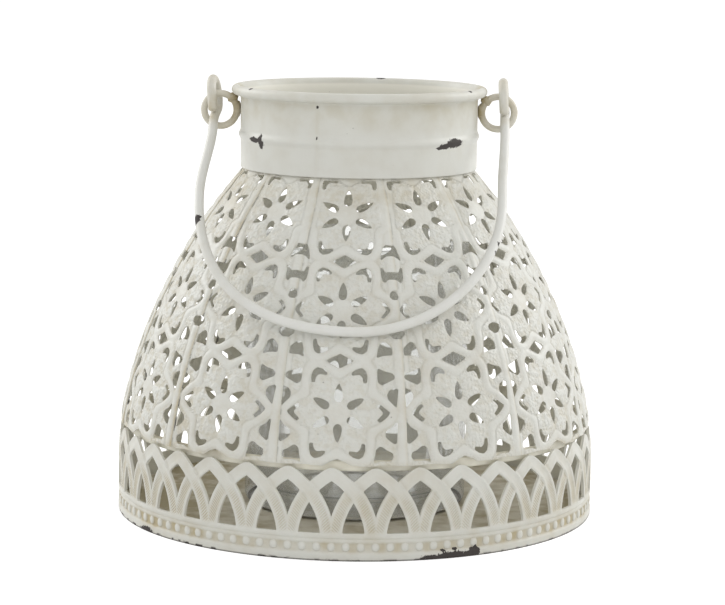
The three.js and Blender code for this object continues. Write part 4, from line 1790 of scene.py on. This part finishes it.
@dataclass
class Bail:
    """The swinging wire bail, with an eye drawn in at each end."""

    wire_radius: float = 2.04
    sides: int = 22
    reach: float = 127.6
    belly: float = 64.3
    belly_reach: float = 56.0
    fullness: float = 0.6
    sway: float = 3.0
    fullness_sway: float = 0.05
    eye_offset: float = 2.5
    eye_radius: float = 6.8
    eye_hang: float = 0.2
    eye_length: float = 14.0
    eye_steps: int = 36
    throat_bend: float = 4.5
    end_gap: float = 4.4
    end_length: float = 2.0
    eye_twist: Corner = (10.0, 6.0)
    shank_pulls: Corner = (0.36, 0.3)
    bend_steps: tuple[int, int, int] = (40, 20, 8)

    def half_route(self, hand: int, span: float) -> list[Vector]:
        """Half of the bail in its own plane, from the middle of its bottom to its end.

        Args:
            hand: 1 for the right half and -1 for the left.
            span: Distance from the middle to the eyes.

        Returns:
            Points with x aside, y away from the pivot and z off the plane.
        """
        belly = self.belly - hand * self.sway
        full = self.fullness - hand * self.fullness_sway
        lean = math.asin(self.eye_radius / (self.eye_length - self.eye_hang))

        def strand(back: float, side: int) -> Vector:
            """Point on a strand that runs back from the throat to the eye."""
            away = self.eye_length - back * math.cos(lean)
            return Vector((span, away, side * back * math.sin(lean)))

        deep = self.belly_reach + (self.reach - self.belly_reach) * full
        sweep = [
            Vector((0, self.reach, 0)),
            Vector((belly * full, self.reach, 0)),
            Vector((belly, deep, 0)),
            Vector((belly, self.belly_reach, 0)),
        ]
        shank_top = Vector((span, self.eye_length + self.throat_bend, 0))
        length = self.belly_reach - shank_top.y
        low_pull, high_pull = self.shank_pulls
        shank = [
            sweep[-1],
            Vector((belly, self.belly_reach - length * low_pull, 0)),
            Vector((span, shank_top.y + length * high_pull, 0)),
            shank_top,
        ]
        bend = [shank_top, Vector((span, self.eye_length, 0)), strand(self.throat_bend, -1)]
        sweep_steps, shank_steps, throat_steps = self.bend_steps
        route = bezier(sweep, sweep_steps) + bezier(shank, shank_steps)[1:]
        route += bezier(bend, throat_steps)[1:]
        start = math.pi / 2 - lean
        for i in range(self.eye_steps + 1):
            turn = start + (math.tau - 2 * start) * i / self.eye_steps
            away = self.eye_hang + self.eye_radius * math.cos(turn)
            route.append(Vector((span, away, -self.eye_radius * math.sin(turn))))
        route += [strand(self.end_gap + self.end_length, 1), strand(self.end_gap, 1)]
        twist = math.radians(self.eye_twist[0 if hand < 0 else 1])
        turned = []
        for point in route:
            share = min(max((shank_top.y - point.y) / self.throat_bend, 0.0), 1.0)
            aside = -point.z * math.sin(twist * share)
            off_plane = point.z * math.cos(twist * share)
            turned.append(Vector((hand * point.x + aside, point.y, off_plane)))
        return turned

    def build(self, pivot: float) -> None:
        """Bends the wire at the angle at which the frame has it at rest.

        Args:
            pivot: Height of the hinge's axis in millimetres.
        """
        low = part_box("bail_handle")[0] / MM
        tilt = math.atan2(-(low.y + self.wire_radius), pivot - (low.z + self.wire_radius))
        ring_low, ring_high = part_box("ear_ring_right")
        span = (ring_low.x + ring_high.x) / 2 / MM + self.eye_offset

        def hung(aside: float, away: float, off_plane: float = 0.0) -> Point:
            """Place in the frame of a point in the bail's own plane."""
            back = away * math.sin(tilt) + off_plane * math.cos(tilt)
            return (aside, -back, pivot - away * math.cos(tilt) + off_plane * math.sin(tilt))

        def on_leg(hand: int, away: float, aside: float) -> Point:
            """Place by a leg's outer side, at a distance away from the pivot."""
            return hung(hand * (self.belly - hand * self.sway + aside), away)

        flat = self.half_route(-1, span)[:0:-1] + self.half_route(1, span)
        solid = wire(np.array([hung(*point) for point in flat]), self.wire_radius, self.sides)
        near_eye = eased(solid.points[:, 2], pivot - 14, pivot - 8)
        solid.numbers["wash"] = 0.06 + 0.3 * near_eye
        chips = (
            Chip(on_leg(-1, 72.0, 0.6), (2.4, 2.4, 4.2)),
            Chip(on_leg(1, 81.5, -3.0), (1.8, 1.5, 1.4)),
            Chip(on_leg(1, 85.5, -4.6), (1.4, 1.2, 1.1)),
        )
        finish = Enamel(
            "bail_enamel",
            paint=paint_colour(215, 215, 210),
            shade=paint_colour(208, 208, 202),
            chips=chips,
            cloud_strength=0.08,
        ).material()
        solid.make("bail_wire", finish, Body.BAIL, Slot.CREAM, ["bail_handle"])


@dataclass
class Inside:
    """The hoop behind the seams, the floor plate and the glass cylinder."""

    hoop_sheet: float = 1.4
    hoop_wash_and_shade: Corner = (39.6, 41.2)
    plate_bevel: float = 0.5
    plate_groove: float = 94.5
    groove_half: float = 1.5
    groove_depth: float = 0.35
    glass_wall: float = 3.0
    glass_base: float = 6.0
    glass_heel: float = 3.0
    glass_hollow: float = 0.8
    glass_step: float = 16.2
    glass_segments: int = 144

    def hoop(self) -> None:
        """Plain hoop with rounded edges."""
        low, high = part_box("support_hoop")
        bottom, top = low.z / MM, high.z / MM
        half = self.hoop_sheet / 2
        middle = high.x / MM - half
        outline = arc((middle, top - half), half, 0, 180, 8)
        outline += arc((middle, bottom + half), half, 180, 360, 8)
        solid = turned_solid(outline)
        # Wash with painted shade near the hoop's top, under the panels' notches.
        solid.numbers["wash"] = 0.04 + 0.4 * eased(solid.points[:, 2], *self.hoop_wash_and_shade)
        # Paint lighter than the body's cream: painted light on the recessed hoop.
        finish = Enamel("hoop_enamel", paint=paint_colour(240, 237, 222), freckles=False).material()
        solid.make("support_hoop_ring", finish, Body.LANTERN, Slot.WASHED, ["support_hoop"])

    def floor(self) -> None:
        """Floor plate with bevelled edges and a shallow groove pressed in its top."""
        low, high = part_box("floor_plate")
        bottom, top, rim = low.z / MM, high.z / MM, high.x / MM
        bevel, groove, half = self.plate_bevel, self.plate_groove, self.groove_half
        outline = [(0.0, bottom), (rim - bevel, bottom), (rim, bottom + bevel)]
        outline += [(rim, top - bevel), (rim - bevel, top), (groove + half, top)]
        outline += [(groove, top - self.groove_depth), (groove - half, top), (0.0, top)]
        solid = turned_solid(outline, closed=False)
        radius = np.hypot(solid.points[:, 0], solid.points[:, 1])
        solid.numbers["wash"] = 0.5 + 0.3 * eased(np.abs(radius - groove), 3.0, 0.5)
        # Paint lighter than the body's cream: painted light in the shaded inside.
        finish = Enamel(
            "floor_enamel",
            paint=paint_colour(233, 229, 217),
            shade=paint_colour(217, 210, 195),
            cloud_strength=0.3,
            roughness=0.55,
            freckles=False,
        ).material()
        solid.make("floor_plate_disc", finish, Body.LANTERN, Slot.WASHED, ["floor_plate"])

    def glass(self) -> None:
        """Glass cylinder with a fire-polished rim and a rounded heel."""
        low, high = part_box("glass_cylinder")
        bottom, top = low.z / MM, high.z / MM
        radius = high.x / MM
        inner = radius - self.glass_wall
        half = self.glass_wall / 2
        floor = bottom + self.glass_base
        hollow, foot = bottom + self.glass_hollow, radius - self.glass_heel
        outline = [(0.0, hollow), (foot - 2.5, hollow), (foot - 1.5, bottom), (foot, bottom)]
        outline += arc((foot, bottom + self.glass_heel), self.glass_heel, -90, 0, 8)[1:]
        step = self.glass_step
        outline += [(radius, height) for height in np.linspace(bottom + 8, step - 0.2, 3)]
        outline += [(radius, height) for height in np.linspace(step + 0.2, top - half, 14)]
        outline += arc((radius - half, top - half), half, 0, 180, 8)[1:]
        fillet = step - floor
        outline += [(inner, height) for height in np.linspace(top - 8, step + 0.4, 10)]
        outline += arc((inner - fillet, step), fillet, 0, -90, 10) + [(0.0, floor)]
        solid = turned_solid(outline, self.glass_segments, closed=False)
        height = solid.points[:, 2]
        away = np.hypot(solid.points[:, 0], solid.points[:, 1])
        # A thin ring at the heel's outer edge is painted dark, as contact shadow.
        at_heel = eased(np.abs(away - radius + self.glass_heel * 0.6), 1.6, 0.9)
        solid.numbers["edge"] = at_heel * eased(height, bottom + 0.95, bottom + 0.5)
        # Painted sheen, kept faint below the step on the outer wall and on the inner wall above the
        # base, so the glass's foot reads darker as painted shade.
        below = eased(height, step + 0.3, step)
        within = below * eased(height, floor + 0.6, floor + 2.0)
        solid.numbers["painted_sheen"] = 0.2 - 0.15 * np.where(away > radius - 0.1, below, within)
        finish = ClearGlass().material()
        solid.make("glass_tumbler", finish, Body.GLASS, Slot.GLASS, ["glass_cylinder"])

    def build(self) -> None:
        """Makes all three."""
        self.hoop()
        self.floor()
        self.glass()


@dataclass
class Studio:
    """Plain pale floor, soft light and the camera at the photograph's angle."""

    focal: float = 129.57
    stand: Point = (2.5, -1141.3, 263.4)
    pitch: float = 8.586
    roll: float = 0.75
    world_strength: float = 0.78
    floor_size: float = 30.0
    floor_colour: Colour = (0.86, 0.86, 0.855, 1.0)
    floor_glow: float = 0.4

    def camera(self) -> None:
        """Camera fitted to the photograph."""
        data = bpy.data.cameras.new("camera")
        data.lens = self.focal
        data.sensor_width = 36.0
        data.clip_end = 100.0
        camera = bpy.data.objects.new("camera", data)
        bpy.context.scene.collection.objects.link(camera)
        camera.location = Vector(self.stand) * MM
        tilt = Euler((math.radians(90 - self.pitch), 0, 0)).to_matrix()
        spin = Euler((0, 0, math.radians(self.roll))).to_matrix()
        camera.rotation_euler = (tilt @ spin).to_euler()
        bpy.context.scene.camera = camera

    def seen(self, graph: ShaderGraph) -> Signal:
        """Tells the rays that show the backdrop from the rays that light the object.

        Args:
            graph: The graph that asks.

        Returns:
            1 for rays that show the backdrop and 0 for the others.
        """
        rays = ("Is Camera Ray", "Is Glossy Ray", "Is Transmission Ray")
        camera, glossy, passing = (graph.add("ShaderNodeLightPath", output=ray) for ray in rays)
        return camera.at_least(glossy).at_least(passing)

    def world(self) -> None:
        """White surroundings that light the object softly."""
        graph = ShaderGraph(bpy.data.worlds.new("surroundings"))
        strength = self.world_strength + self.seen(graph) * (1 - self.world_strength)
        white = {"Color": (1.0, 1.0, 1.0, 1.0), "Strength": strength}
        background = graph.add("ShaderNodeBackground", {}, white, output="Background")
        bpy.context.scene.world = graph.finish(background, "ShaderNodeOutputWorld")

    def floor(self) -> None:
        """White floor that keeps the object's shadow."""
        half = self.floor_size / 2
        mesh = bpy.data.meshes.new("studio_floor")
        corners = [(-half, -half, 0), (half, -half, 0), (half, half, 0), (-half, half, 0)]
        mesh.from_pydata(corners, [], [(0, 1, 2, 3)])
        graph = ShaderGraph(bpy.data.materials.new("studio_floor"))
        colour = {"Color": self.floor_colour}
        matt = graph.add("ShaderNodeBsdfDiffuse", {}, colour, output="BSDF")
        light = {"Color": self.seen(graph) * self.floor_glow}
        glow = graph.add("ShaderNodeEmission", {}, light, output="Emission")
        both = graph.add("ShaderNodeAddShader", {}, {0: matt, 1: glow}, output="Shader")
        mesh.materials.append(graph.finish(both))
        floor = bpy.data.objects.new("studio_floor", mesh)
        bpy.context.scene.collection.objects.link(floor)

    def lamp(self, name: str, at: Point, size: float, power: float) -> None:
        """Soft square lamp that faces the lantern.

        Args:
            name: The lamp's name.
            at: Its place in metres.
            size: Its side in metres.
            power: Its power in watts.
        """
        data = bpy.data.lights.new(name, "AREA")
        data.size = size
        data.energy = power
        lamp = bpy.data.objects.new(name, data)
        bpy.context.scene.collection.objects.link(lamp)
        lamp.location = at
        aim = Vector((0, 0, 0.1)) - Vector(at)
        lamp.rotation_euler = aim.to_track_quat("-Z", "Y").to_euler()

    def build(self) -> None:
        """Sets up the whole studio."""
        bpy.context.scene.view_settings.view_transform = "Standard"
        self.camera()
        self.world()
        self.floor()
        self.lamp("right_lamp", (1.39, 0.56, 0.85), 0.9, 11.0)
        self.lamp("left_lamp", (-1.3, 0.75, 0.85), 0.9, 10.5)
        self.lamp("front_lamp", (0.1, -1.35, 1.3), 1.2, 4.6)


def main() -> None:
    """Builds the studio and every piece of the lantern."""
    logging.basicConfig(level=logging.INFO, format="%(name)s: %(message)s", force=True)
    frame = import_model()
    Studio().build()
    profile = DomeProfile(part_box("gallery_band")[1].x / MM)
    PanelSet(profile).build()
    Gallery(profile).build()
    Collar().build()
    EarRings().build()
    hinge = next(joint for joint in frame["joints"] if joint["name"] == "bail_swing")
    Bail().build(hinge["pos_m"][2] / MM)
    Inside().build()


if __name__ == "__main__":
    main()
